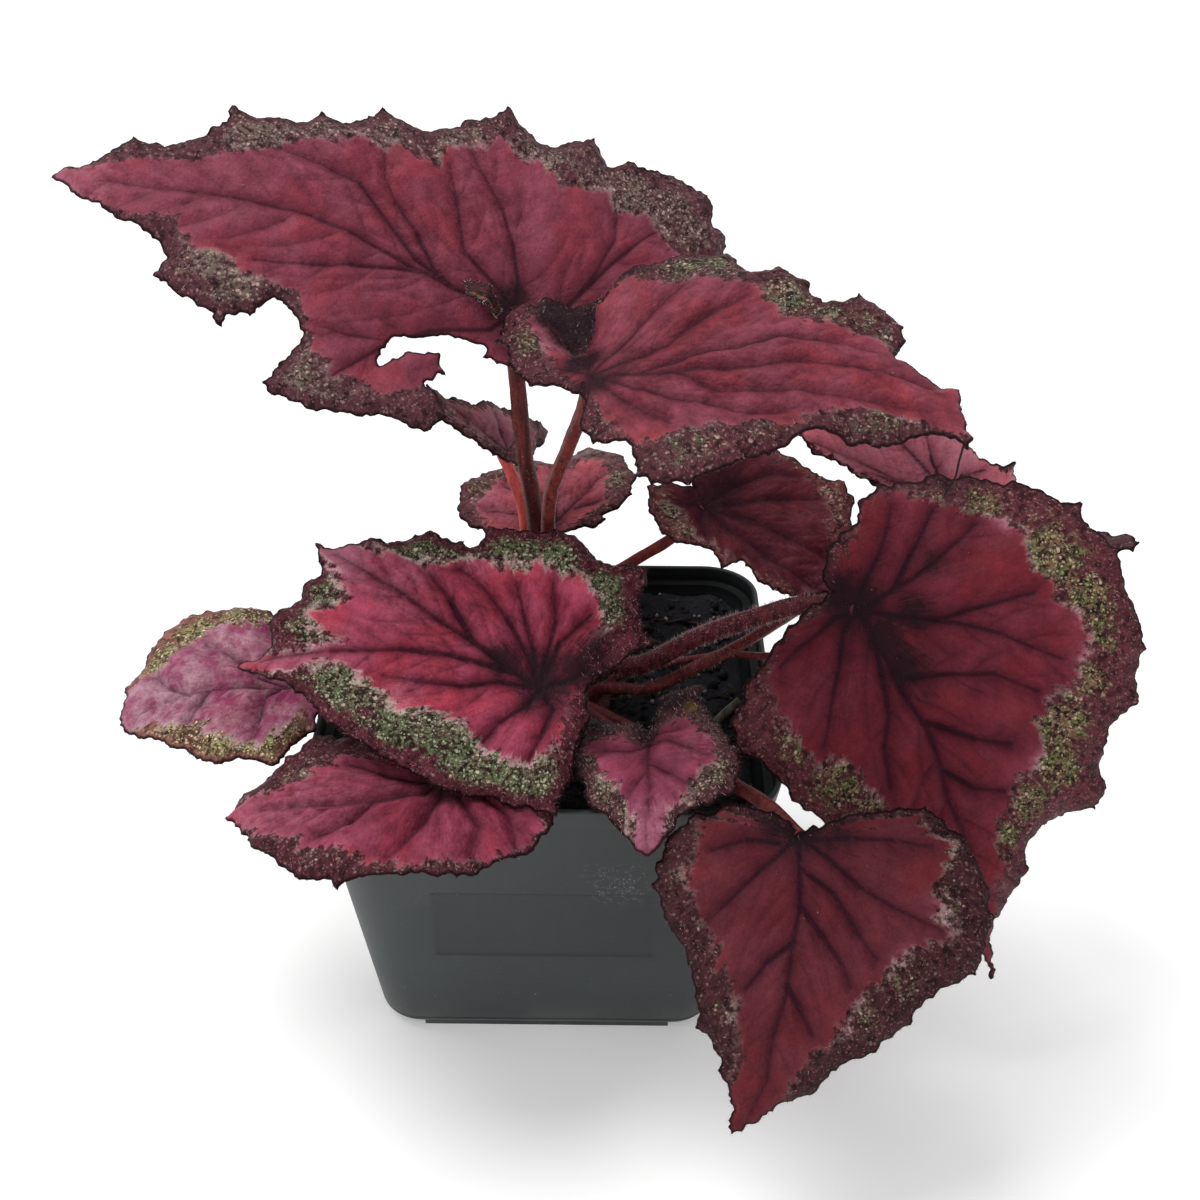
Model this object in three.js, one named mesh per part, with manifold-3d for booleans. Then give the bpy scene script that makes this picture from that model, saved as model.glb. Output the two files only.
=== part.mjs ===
// A rex begonia in a square nursery pot.
// Millimetres, +Z up, +Y away from the viewer; the origin is the middle of the pot's underside.
import * as THREE from 'three';
import { mergeVertices } from 'three/addons/utils/BufferGeometryUtils.js';
import Module from 'manifold-3d';

const wasm = await Module();
wasm.setup();

// Driving sizes of the pot
const POT = {
  top: 100,
  base: 76,
  height: 73,
  footWidth: 56,
  footReach: 36.4,
  footHeight: 1.2,
  rimBand: 5,
  rimStep: 1.6,
  wall: 1.4,
  floor: 2,
  topCorner: 11.5,
  baseCorner: 9.5,
  sharpestCorner: 0.5,
  footRound: 3,
  floorRound: 2,
  lipRound: 0.5,
};
const LABEL = { width: 48, low: 26, high: 46.5, depth: 0.5 };
const DRAIN = { radius: 4, offset: 19, cutLength: 12, sides: 14 };
const SOIL = {
  level: 63.5,
  bump: 1.1,
  bumpDepth: 3,
  waveX: 3.2,
  waveY: 3.7,
  footRound: 2.4,
  shoulder: 4,
  edgeDrop: 1.6,
  edgeGap: 0.6,
  ringShares: [0.3, 0.6, 0.85],
};
const RHIZOME = { centre: [-1, 2, 64], radii: [15, 10, 7], knobs: 7, swell: 0.035 };
const STUB = { foot: [37, -4, 61.5], top: [43.6, -1.5, 67.5], radius: 1.1, sides: 7 };
const GAP = 0.3;
const BLADE = { thickness: 1, ringShares: [0.42, 0.76], cutReach: 60, castPasses: 14 };
const STALK = { rise: 3, stepsPerPoint: 3, thick: 1.7, thickSides: 8, sides: 6 };

// Where the photograph was taken from: the eye, the way it looks, and its focal length in pixels.
// Leaf outlines are given as pixels of the 1200 x 1200 photograph and cast onto each leaf's plane.
const PHOTO = { middle: 600, focal: 1713, eye: [14.2, -323.5, 290.2], down: 31.37, turn: -0.46, roll: 0.26 };

const radians = THREE.MathUtils.degToRad;
const eye = new THREE.Vector3(...PHOTO.eye);
const look = new THREE.Vector3(
  Math.sin(radians(PHOTO.turn)) * Math.cos(radians(PHOTO.down)),
  Math.cos(radians(PHOTO.turn)) * Math.cos(radians(PHOTO.down)),
  -Math.sin(radians(PHOTO.down)),
);
const level = new THREE.Vector3(Math.cos(radians(PHOTO.turn)), -Math.sin(radians(PHOTO.turn)), 0);
const right = level.clone().applyAxisAngle(look, -radians(PHOTO.roll));
const up = new THREE.Vector3().crossVectors(right, look);

function sightLine(px, py) {
  return look.clone()
    .addScaledVector(right, (px - PHOTO.middle) / PHOTO.focal)
    .addScaledVector(up, (PHOTO.middle - py) / PHOTO.focal);
}

// The point seen at a pixel, at a given distance behind the pot's middle
function seenAt([px, py, y]) {
  const line = sightLine(px, py);
  return eye.clone().addScaledVector(line, (y - eye.y) / line.y);
}

// Solids
function closed(geometry) {
  geometry.deleteAttribute('normal');
  geometry.deleteAttribute('uv');
  const merged = mergeVertices(geometry, 1e-4);
  const at = merged.getAttribute('position');
  const index = [];
  let volume = 0;
  const corner = [0, 1, 2].map(() => new THREE.Vector3());
  for (let i = 0; i < merged.index.count; i += 3) {
    const face = [0, 1, 2].map((k) => merged.index.getX(i + k));
    if (new Set(face).size < 3) continue;
    face.forEach((v, k) => corner[k].fromBufferAttribute(at, v));
    volume += corner[0].dot(corner[1].clone().cross(corner[2]));
    index.push(...face);
  }
  if (volume < 0) index.reverse();
  merged.setIndex(index);
  return merged;
}

function solid(geometry) {
  const merged = closed(geometry);
  const vertProperties = new Float32Array(merged.getAttribute('position').array);
  const triVerts = new Uint32Array(merged.index.array);
  return new wasm.Manifold(new wasm.Mesh({ numProp: 3, vertProperties, triVerts }));
}

function toGeometry(manifold) {
  const mesh = manifold.getMesh();
  const geometry = new THREE.BufferGeometry();
  const position = new Float32Array(mesh.numVert * 3);
  for (let i = 0; i < mesh.numVert; i += 1) {
    for (let k = 0; k < 3; k += 1) position[3 * i + k] = mesh.vertProperties[mesh.numProp * i + k];
  }
  geometry.setAttribute('position', new THREE.BufferAttribute(position, 3));
  geometry.setIndex([...mesh.triVerts]);
  return geometry;
}

// Pot and soil: a turned profile whose round section is pushed out to a square with round corners
const CORNER_STEPS = 4;
const SIDES = 4 * (CORNER_STEPS + 1);

function squarePoint(index, half, corner) {
  const quarter = Math.floor(index / (CORNER_STEPS + 1)) % 4;
  const turn = (index % (CORNER_STEPS + 1)) / CORNER_STEPS;
  const angle = (quarter + turn) * (Math.PI / 2);
  const cornerX = quarter === 0 || quarter === 3 ? 1 : -1;
  const cornerY = quarter < 2 ? 1 : -1;
  const radius = Math.min(corner, half);
  return [
    cornerX * (half - radius) + radius * Math.cos(angle),
    cornerY * (half - radius) + radius * Math.sin(angle),
  ];
}

function squareTurned(profile, lift = () => 0) {
  const geometry = new THREE.LatheGeometry(profile.map((p) => new THREE.Vector2(...p)), SIDES);
  const at = geometry.getAttribute('position');
  for (let side = 0; side <= SIDES; side += 1) {
    for (let k = 0; k < profile.length; k += 1) {
      const [half, z] = profile[k];
      const [x, y] = squarePoint(side % SIDES, half, cornerAt(z, half));
      at.setXYZ(side * profile.length + k, x, y, z + lift(x, y, z));
    }
  }
  return geometry;
}

// Half width of the pot's outside, of its inside, and the corner radius of a wall lying at either
const share = (z) => (z - POT.footHeight) / (POT.height - POT.footHeight);
const outerHalf = (z) => POT.base / 2 + (POT.top / 2 - POT.rimStep - POT.base / 2) * share(z);
const innerHalf = (z) => outerHalf(z) - POT.wall;
const cornerAt = (z, half) => {
  const outer = POT.baseCorner + (POT.topCorner - POT.baseCorner) * share(z);
  return Math.max(POT.sharpestCorner, outer + half - outerHalf(z));
};

function potGeometry() {
  const bandFoot = POT.height - POT.rimBand;
  const ledge = bandFoot + POT.wall;
  const lipInner = POT.top / 2 - POT.wall;
  const floorTop = POT.footHeight + POT.floor;
  const foot = [];
  const footSteps = 3;
  for (let i = 0; i <= footSteps; i += 1) {
    const angle = (i / footSteps) * (Math.PI / 2);
    const z = POT.footHeight + POT.footRound * (1 - Math.cos(angle));
    foot.push([outerHalf(z) - POT.footRound * (1 - Math.sin(angle)), z]);
  }
  const profile = [
    [0, POT.footHeight],
    ...foot,
    [outerHalf(bandFoot), bandFoot],
    [POT.top / 2 - POT.lipRound, bandFoot + POT.lipRound],
    [POT.top / 2, POT.height - POT.lipRound],
    [POT.top / 2 - POT.lipRound, POT.height],
    [lipInner + POT.lipRound, POT.height],
    [lipInner, POT.height - POT.lipRound],
    [lipInner, ledge + POT.lipRound],
    [innerHalf(ledge), ledge],
    [innerHalf(floorTop + POT.floorRound), floorTop + POT.floorRound],
    [innerHalf(floorTop) - POT.floorRound, floorTop],
    [0, floorTop],
  ];
  let pot = solid(squareTurned(profile));
  for (const [wide, deep] of [[POT.footWidth / 2, POT.footReach], [POT.footReach, POT.footWidth / 2]]) {
    const height = POT.footHeight + POT.floor / 2;
    const bar = new THREE.BoxGeometry(2 * wide, 2 * deep, height);
    bar.translate(0, 0, height / 2);
    pot = pot.add(solid(bar));
  }
  for (const [sx, sy] of [[1, 1], [-1, 1], [-1, -1], [1, -1]]) {
    const hole = new THREE.CylinderGeometry(DRAIN.radius, DRAIN.radius, DRAIN.cutLength, DRAIN.sides);
    hole.rotateX(Math.PI / 2);
    hole.translate(sx * DRAIN.offset, sy * DRAIN.offset, floorTop / 2);
    pot = pot.subtract(solid(hole));
  }
  return toGeometry(pot.subtract(labelCutter()));
}

// The bare label panel: a shallow rectangle sunk into the sloping front wall
function labelCutter() {
  const lean = Math.atan2(outerHalf(LABEL.high) - outerHalf(LABEL.low), LABEL.high - LABEL.low);
  const middle = (LABEL.low + LABEL.high) / 2;
  const block = 4;
  const panel = new THREE.BoxGeometry(LABEL.width, block, (LABEL.high - LABEL.low) / Math.cos(lean));
  panel.translate(0, -block / 2 + LABEL.depth, 0);
  panel.rotateX(lean);
  panel.translate(0, -outerHalf(middle), middle);
  return solid(panel);
}

function soilLift(x, y, z) {
  const top = Math.max(0, 1 - (SOIL.level - z) / SOIL.bumpDepth);
  return SOIL.bump * Math.sin(x / SOIL.waveX) * Math.cos(y / SOIL.waveY) * top;
}

function soilGeometry() {
  const foot = POT.footHeight + POT.floor + GAP;
  const half = (z) => innerHalf(z) - GAP;
  const profile = [
    [0, foot],
    [half(foot) - SOIL.footRound, foot],
    [half(foot + SOIL.footRound), foot + SOIL.footRound],
    [half(SOIL.level - SOIL.shoulder), SOIL.level - SOIL.shoulder],
    [half(SOIL.level) - SOIL.edgeGap, SOIL.level - SOIL.edgeDrop],
    ...[...SOIL.ringShares].reverse().map((part) => [half(SOIL.level) * part, SOIL.level]),
    [0, SOIL.level],
  ];
  const soil = solid(squareTurned(profile, soilLift));
  return toGeometry(soil.subtract(solid(rhizomeBody(GAP))).subtract(solid(stubBody(GAP))));
}

// Rhizome: a short knobbly stem lying half in the soil
function rhizomeSurface(direction, extra = 0) {
  const [x, y, z] = direction.toArray();
  const swell = 1 + RHIZOME.swell * Math.sin(RHIZOME.knobs * Math.atan2(y, x)) * (1 - z * z);
  return new THREE.Vector3(
    RHIZOME.centre[0] + x * (RHIZOME.radii[0] * swell + extra),
    RHIZOME.centre[1] + y * (RHIZOME.radii[1] * swell + extra),
    RHIZOME.centre[2] + z * (RHIZOME.radii[2] * swell + extra),
  );
}

function rhizomeBody(extra = 0) {
  const geometry = new THREE.SphereGeometry(1, 16, 9);
  geometry.rotateX(Math.PI / 2);
  const at = geometry.getAttribute('position');
  for (let i = 0; i < at.count; i += 1) {
    const direction = new THREE.Vector3().fromBufferAttribute(at, i).normalize();
    at.setXYZ(i, ...rhizomeSurface(direction, extra).toArray());
  }
  return geometry;
}

function tube(points, radius, steps, sides) {
  const ring = new THREE.Shape();
  for (let i = 0; i < sides; i += 1) {
    const angle = (i / sides) * Math.PI * 2;
    ring[i ? 'lineTo' : 'moveTo'](radius * Math.cos(angle), radius * Math.sin(angle));
  }
  ring.closePath();
  const extrudePath = new THREE.CatmullRomCurve3(points, false, 'centripetal');
  return new THREE.ExtrudeGeometry(ring, { steps, extrudePath });
}

// Cut stub of an old stalk, standing in the soil to the right of the crown
function stubBody(extra = 0) {
  const foot = new THREE.Vector3(...STUB.foot);
  const top = new THREE.Vector3(...STUB.top);
  const along = top.clone().sub(foot).normalize();
  return tube([foot.addScaledVector(along, -extra), top], STUB.radius + extra, 1, STUB.sides);
}

// Leaf blades. Each lies on a plane through three seen points: the stalk's end (junction), the tip
// and one side. The third number of each is how far it lies behind the pot's middle, in mm.
// arch bows the blade along its midrib and cup across it, both as shares of the midrib's length.
// outline runs once round the blade from the notch at the stalk, and cuts are bites taken out of it.
const LEAVES = {
  upper_left_leaf: {
    junction: [515, 310, 4], tip: [51, 177, 10], side: [383, 107, 34], arch: 0.05, cup: -0.05,
    outline: [
      [520, 326], [590, 332], [668, 305], [720, 262], [722, 232], [700, 190], [654, 173],
      [606, 160], [596, 137], [551, 144], [529, 132], [509, 107], [450, 122], [383, 109], [321, 112],
      [268, 116], [232, 109], [184, 141], [134, 138], [99, 157], [51, 177], [110, 214], [160, 248],
      [153, 275], [201, 308], [250, 330], [270, 352], [262, 381], [310, 410], [383, 416], [428, 429],
      [462, 412], [490, 372], [510, 330],
    ],
    cuts: [
      [[249, 317], [274, 298], [293, 315], [303, 335], [270, 376], [236, 350]],
      [[394, 334], [452, 336], [487, 349], [508, 326], [520, 400], [452, 440], [451, 416], [438, 398],
        [428, 380], [446, 375], [440, 352], [409, 349], [377, 376]],
    ],
  },
  upper_right_leaf: {
    junction: [590, 375, -30], tip: [971, 430, -46], side: [776, 268, -2], arch: 0.07, cup: -0.1,
    outline: [
      [586, 392], [562, 387], [529, 386], [507, 360], [495, 338], [503, 318], [516, 304], [560, 300],
      [605, 294], [640, 263], [730, 254], [776, 267], [822, 302], [870, 300], [905, 334], [896, 359],
      [960, 388], [971, 430], [940, 434], [881, 446], [817, 431], [791, 443], [740, 458], [684, 485],
      [651, 485], [638, 472], [620, 442], [592, 441], [580, 425],
    ],
  },
  right_leaf: {
    junction: [856, 610, -23], tip: [990, 977, -47], side: [1146, 640, -20], arch: 0.13, cup: -0.03,
    outline: [
      [812, 603], [788, 618], [768, 658], [746, 683], [731, 723], [740, 751], [776, 778], [792, 802],
      [830, 832], [880, 862], [930, 902], [965, 936], [985, 961], [990, 977], [996, 965], [994, 922],
      [1021, 885], [1028, 850], [1064, 818], [1095, 809], [1106, 787], [1107, 738], [1138, 702],
      [1147, 650], [1133, 601], [1116, 549], [1083, 518], [1084, 504], [1021, 483], [933, 475],
      [877, 486], [859, 500], [853, 526], [825, 549], [824, 575], [836, 592],
    ],
  },
  front_leaf: {
    junction: [799, 836, -62], tip: [731, 1135, -94], side: [990, 893, -70], arch: 0.06, cup: -0.08,
    outline: [
      [799, 828], [820, 817], [860, 811], [926, 806], [964, 836], [990, 893], [994, 920], [977, 977],
      [949, 987], [913, 1023], [875, 1053], [832, 1071], [814, 1094], [773, 1113], [731, 1135],
      [730, 1099], [719, 1070], [709, 1038], [695, 1028], [694, 985], [681, 944], [654, 895],
      [656, 862], [671, 834], [700, 812], [747, 805], [780, 814],
    ],
  },
  centre_leaf: {
    junction: [540, 689, -35], tip: [232, 667, -32], side: [500, 531, -7], arch: 0.03, cup: 0.06,
    outline: [
      [585, 692], [612, 668], [660, 642], [641, 610], [649, 570], [603, 563], [575, 536], [557, 530],
      [487, 529], [467, 546], [434, 532], [401, 539], [370, 537], [316, 542], [321, 574], [303, 585],
      [300, 598], [270, 620], [270, 645], [232, 667], [268, 679], [312, 703], [345, 735], [380, 758],
      [405, 780], [465, 796], [530, 816], [556, 812], [573, 780], [578, 745], [590, 716],
    ],
  },
  silver_leaf: {
    junction: [318, 682, -15], tip: [119, 719, -24], side: [205, 615, 6], arch: 0.06, cup: -0.1,
    outline: [
      [326, 684], [324, 706], [314, 732], [286, 755], [270, 766], [240, 762], [212, 766], [187, 752],
      [150, 744], [123, 730], [119, 717], [126, 688], [148, 662], [158, 638], [184, 622], [235, 608],
      [276, 613], [310, 634], [324, 660],
    ],
  },
  lower_left_leaf: {
    junction: [445, 782, -48], tip: [225, 816, -50], side: [430, 875, -70], arch: 0.05, cup: -0.06,
    outline: [
      [466, 776], [515, 778], [552, 790], [560, 806], [553, 830], [532, 852], [501, 862], [471, 876],
      [393, 876], [337, 889], [299, 880], [253, 849], [225, 816], [243, 793], [266, 781], [289, 755],
      [317, 738], [370, 740], [430, 752],
    ],
  },
  small_front_leaf: {
    junction: [647, 742, -38], tip: [647, 853, -66], side: [741, 762, -48], arch: 0.05, cup: -0.05,
    outline: [
      [647, 731], [655, 714], [668, 698], [706, 687], [709, 712], [723, 729], [741, 750], [742, 770],
      [734, 790], [685, 813], [667, 829], [655, 847], [640, 852], [626, 839], [588, 803], [577, 778],
      [573, 762], [580, 742], [592, 719], [630, 724],
    ],
  },
  shaded_leaf: {
    junction: [705, 498, 14], tip: [835, 592, -4], side: [845, 482, 18], arch: 0.06, cup: 0.12,
    outline: [
      [694, 488], [672, 462], [715, 438], [760, 440], [800, 460], [845, 480], [855, 503], [852, 529],
      [850, 565], [835, 592], [795, 597], [773, 590], [757, 581], [743, 562], [722, 568], [708, 549],
      [676, 544], [658, 530], [647, 508], [647, 484],
    ],
  },
  pale_leaf: {
    junction: [950, 502, 26], tip: [799, 437, 18], side: [1016, 470, 32], arch: 0.05, cup: -0.08,
    outline: [
      [948, 514], [912, 506], [878, 491], [858, 478], [842, 466], [814, 456], [799, 437], [806, 424],
      [840, 412], [900, 408], [950, 425], [972, 447], [990, 461], [1015, 461], [1018, 481], [1004, 505],
      [975, 515],
    ],
  },
  back_leaf: {
    junction: [556, 522, 24], tip: [572, 454, 56], side: [458, 495, 38], arch: 0.08, cup: 0.1,
    outline: [
      [557, 531], [530, 540], [484, 531], [460, 517], [457, 503], [462, 484], [489, 469], [505, 462],
      [528, 456], [558, 462], [585, 449], [623, 455], [637, 475], [632, 493], [606, 512], [600, 523],
      [575, 530],
    ],
  },
  folded_leaf: {
    junction: [508, 452, 13], tip: [430, 383, 10], side: [489, 399, 21], arch: 0.04, cup: 0.05,
    outline: [
      [505, 459], [519, 464], [532, 463], [546, 442], [549, 431], [540, 419], [508, 405], [489, 399],
      [470, 401], [446, 393], [430, 383], [427, 404], [450, 424], [470, 437], [488, 448],
    ],
  },
  hidden_leaf: {
    junction: [1040, 600, 14], tip: [1135, 542, 12], side: [1045, 540, 26], arch: 0.05, cup: -0.05,
    outline: [
      [1034, 607], [1062, 620], [1098, 598], [1118, 563], [1134, 553], [1136, 539], [1125, 531],
      [1100, 531], [1070, 526], [1040, 540], [1018, 576],
    ],
  },
  dried_bract: {
    junction: [502, 311, 1.1], tip: [463, 284, -0.4], side: [492, 281, 5.1], arch: 0.1, cup: 0.3,
    outline: [
      [500, 316], [478, 306], [462, 296], [463, 284], [474, 277], [486, 282], [499, 296], [505, 306],
    ],
  },
};

class Leaf {
  constructor({ junction, tip, side, arch, cup, outline, cuts = [] }) {
    this.foot = seenAt(junction);
    this.along = seenAt(tip).sub(this.foot);
    this.length = this.along.length();
    this.along.normalize();
    this.facing = new THREE.Vector3().crossVectors(this.along, seenAt(side).sub(this.foot)).normalize();
    if (this.facing.dot(eye.clone().sub(this.foot)) < 0) this.facing.negate();
    this.across = new THREE.Vector3().crossVectors(this.facing, this.along);
    Object.assign(this, { arch, cup });
    this.outline = outline.map(([px, py]) => this.castBack(px, py));
    this.cuts = cuts.map((cut) => cut.map(([px, py]) => this.castBack(px, py)));
  }

  // How far the blade stands off its plane at s along the midrib and t across it
  bend(s, t) {
    const [u, v] = [s / this.length, t / this.length];
    return this.length * (4 * this.arch * u * (1 - u) + this.cup * v * v);
  }

  point(s, t, lift = 0) {
    return this.foot.clone()
      .addScaledVector(this.along, s)
      .addScaledVector(this.across, t)
      .addScaledVector(this.facing, this.bend(s, t) + lift);
  }

  // Place on the blade that is seen at a pixel: the bent surface is met by repeated correction
  castBack(px, py) {
    const line = sightLine(px, py);
    const offset = this.foot.clone().sub(eye);
    let place = [0, 0];
    for (let pass = 0; pass < BLADE.castPasses; pass += 1) {
      const reach = (offset.dot(this.facing) + this.bend(...place)) / line.dot(this.facing);
      const hit = line.clone().multiplyScalar(reach).sub(offset);
      place = [(place[0] + hit.dot(this.along)) / 2, (place[1] + hit.dot(this.across)) / 2];
    }
    return place;
  }

  // Which way the surface faces at the junction
  facingAtFoot() {
    const slope = 4 * this.arch;
    return this.facing.clone().addScaledVector(this.along, -slope).normalize();
  }

  // A thin disc whose rim follows the outline, so that its ribs run out from the junction
  blade() {
    const half = BLADE.thickness / 2;
    const shares = [0, ...BLADE.ringShares, 1];
    const profile = [...shares.map((r) => [r, half]), ...[...shares].reverse().map((r) => [r, -half])];
    const count = this.outline.length;
    const geometry = new THREE.LatheGeometry(profile.map((p) => new THREE.Vector2(...p)), count);
    const at = geometry.getAttribute('position');
    for (let i = 0; i <= count; i += 1) {
      const [s, t] = this.outline[i % count];
      profile.forEach(([r, lift], k) => {
        at.setXYZ(i * profile.length + k, ...this.point(s * r, t * r, lift).toArray());
      });
    }
    if (!this.cuts.length) return closed(geometry);
    return toGeometry(this.cuts.reduce((left, cut) => left.subtract(this.prism(cut)), solid(geometry)));
  }

  prism(cut) {
    const shape = new THREE.Shape(cut.map(([s, t]) => new THREE.Vector2(s, t)));
    const block = new THREE.ExtrudeGeometry(shape, { depth: 2 * BLADE.cutReach, bevelEnabled: false });
    block.translate(0, 0, -BLADE.cutReach);
    block.applyMatrix4(new THREE.Matrix4().makeBasis(this.along, this.across, this.facing));
    block.translate(...this.foot.toArray());
    return solid(block);
  }
}

// Leaf stalks: foot says where on the rhizome the stalk grows, as shares of its radii in X and Y;
// by lists seen points on the way (pixel, pixel, mm behind the pot's middle).
const STALKS = {
  upper_left_leaf: {
    radius: 1.95, foot: [-0.3, 0.2], by: [[536, 528, 4.5], [524, 452, 5], [517, 378, 4.5]],
  },
  upper_right_leaf: { radius: 1.6, foot: [0.16, 0], by: [[549, 507, -3], [567, 450, -14], [583, 410, -25]] },
  right_leaf: {
    radius: 2.2, foot: [0.62, 0.18], by: [[640, 665, -3], [700, 636, -8], [760, 616, -14], [806, 605, -17]],
  },
  front_leaf: { radius: 1.6, foot: [0.5, -0.72], by: [[690, 760, -34], [731, 783, -43], [773, 810, -54]] },
  centre_leaf: { radius: 1.8, foot: [-0.08, -0.4], by: [[540, 705, -20]] },
  silver_leaf: { radius: 1.4, foot: [-0.85, -0.1], by: [[420, 694, -6], [360, 688, -11]] },
  lower_left_leaf: { radius: 1.5, foot: [-0.42, -0.66], by: [[490, 764, -30]] },
  small_front_leaf: { radius: 1.2, foot: [0.25, -0.66], by: [[622, 735, -24]] },
  shaded_leaf: { radius: 1.4, foot: [0.4, 0.6], by: [[590, 592, 10], [632, 562, 12], [672, 538, 13]] },
  pale_leaf: {
    radius: 1.4, foot: [0.75, -0.32], by: [[650, 688, -7], [700, 665, -4], [740, 645, 1], [840, 580, 18]],
  },
  back_leaf: { radius: 1.2, foot: [-0.05, 0.75], by: [[552, 600, 14], [555, 550, 21]] },
  folded_leaf: { radius: 1.3, foot: [-0.6, 0.5], by: [[525, 528, 9], [515, 485, 11]] },
  hidden_leaf: {
    radius: 0.9, foot: [0.9, 0.28], by: [[725, 655, 4], [768, 656, 2], [900, 640, 10], [985, 622, 20]],
  },
};

function stalkPoints(leaf, { radius, foot, by }) {
  const [a, b] = foot;
  const root = new THREE.Vector3(a, b, Math.sqrt(1 - a * a - b * b));
  const outward = root.clone().divide(new THREE.Vector3(...RHIZOME.radii)).normalize();
  const start = rhizomeSurface(root).addScaledVector(outward, GAP);
  const climb = start.clone().addScaledVector(outward, STALK.rise);
  const way = by.map(seenAt);
  const facing = leaf.facingAtFoot();
  const coming = leaf.foot.clone().sub(way.at(-1)).normalize();
  const slant = Math.sqrt(1 - coming.dot(facing) ** 2);
  const clear = BLADE.thickness / 2 + GAP + radius * slant;
  const end = leaf.foot.clone().addScaledVector(facing, -clear);
  return [start, climb, ...way, end];
}

const MATERIALS = {
  pot: { color: 0x3f4848, roughness: 0.55, metalness: 0 },
  soil: { color: 0x14181a, roughness: 0.95, metalness: 0 },
  rhizome: { color: 0x5a4232, roughness: 0.8, metalness: 0 },
  blade: { color: 0x8a2c3e, roughness: 0.6, metalness: 0 },
  silverBlade: { color: 0xb06a90, roughness: 0.6, metalness: 0 },
  stalk: { color: 0x96402f, roughness: 0.5, metalness: 0 },
  hairyStalk: { color: 0x5c2c30, roughness: 0.75, metalness: 0 },
  driedBract: { color: 0x4a2c26, roughness: 0.9, metalness: 0 },
  stub: { color: 0x59604c, roughness: 0.85, metalness: 0 },
};
const BLADE_FINISH = { silver_leaf: 'silverBlade', pale_leaf: 'silverBlade', dried_bract: 'driedBract' };

const plant = new THREE.Group();

function addNode(name, geometry, material) {
  const mesh = new THREE.Mesh(geometry, new THREE.MeshStandardMaterial(MATERIALS[material]));
  mesh.name = name;
  plant.add(mesh);
}

addNode('nursery_pot', potGeometry(), 'pot');
addNode('potting_soil', soilGeometry(), 'soil');
addNode('rhizome', closed(rhizomeBody()), 'rhizome');
addNode('old_stalk_stub', closed(stubBody()), 'stub');

for (const [name, numbers] of Object.entries(LEAVES)) {
  const leaf = new Leaf(numbers);
  addNode(name, leaf.blade(), BLADE_FINISH[name] ?? 'blade');
  const stalk = STALKS[name];
  if (!stalk) continue;
  const points = stalkPoints(leaf, stalk);
  const steps = STALK.stepsPerPoint * (points.length - 1);
  const sides = stalk.radius > STALK.thick ? STALK.thickSides : STALK.sides;
  const finish = name === 'right_leaf' ? 'hairyStalk' : 'stalk';
  addNode(name.replace('_leaf', '_stalk'), closed(tube(points, stalk.radius, steps, sides)), finish);
}

export default plant;
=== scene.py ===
import math
import random

import bmesh
import bpy
import numpy as np
from mathutils import Matrix, Quaternion, Vector, noise


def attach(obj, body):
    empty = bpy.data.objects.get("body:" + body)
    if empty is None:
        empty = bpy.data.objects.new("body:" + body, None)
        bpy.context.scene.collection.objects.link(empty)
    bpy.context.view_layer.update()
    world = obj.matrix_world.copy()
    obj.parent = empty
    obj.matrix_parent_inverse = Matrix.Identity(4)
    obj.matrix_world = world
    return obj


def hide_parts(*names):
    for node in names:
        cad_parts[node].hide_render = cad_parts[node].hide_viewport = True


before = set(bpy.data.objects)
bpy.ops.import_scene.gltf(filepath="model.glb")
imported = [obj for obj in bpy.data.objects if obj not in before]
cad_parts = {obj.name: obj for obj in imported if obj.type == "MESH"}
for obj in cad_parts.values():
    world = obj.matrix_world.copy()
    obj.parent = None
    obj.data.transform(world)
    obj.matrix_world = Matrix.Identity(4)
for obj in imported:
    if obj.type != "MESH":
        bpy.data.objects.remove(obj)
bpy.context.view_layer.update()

mm = 0.001   # lengths below are in millimetres, and meshes are made in metres
print("frame loaded")

# The photograph's camera, fitted to the pot. Leaf shapes below are pixels of its 1200 x 1200 frame,
# cast back onto each leaf's own curved surface.
photo = {
    "middle": 600, "focal": 1713, "sensor": 36,
    "eye": (14.2, -323.5, 290.2), "down": 31.37, "turn": -0.46, "roll": 0.26, "clip": (0.01, 200),
}


def viewAxes():
    down, turn = math.radians(photo["down"]), math.radians(photo["turn"])
    look = Vector((math.sin(turn) * math.cos(down), math.cos(turn) * math.cos(down), -math.sin(down)))
    right = Vector((math.cos(turn), -math.sin(turn), 0))
    right.rotate(Quaternion(look, -math.radians(photo["roll"])))
    return look, right, right.cross(look)


look, right, up = viewAxes()
eye = np.array(photo["eye"])


def sightLines(pixels):
    offsets = (np.array(pixels, float)[:, :2] - photo["middle"]) / photo["focal"]
    return np.array(look) + offsets[:, :1] * np.array(right) - offsets[:, 1:] * np.array(up)


def seenAt(pixel):   # (px, py, mm behind the pot's middle)
    line = sightLines([pixel])[0]
    return eye + line * (pixel[2] - eye[1]) / line[1]


# Shader writing

def colour(red, green, blue):   # screen values 0 to 255, as read off a picture
    screen = (red / 255, green / 255, blue / 255)
    linear = [c / 12.92 if c <= 0.04045 else ((c + 0.055) / 1.055) ** 2.4 for c in screen]
    return (*linear, 1.0)


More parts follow.
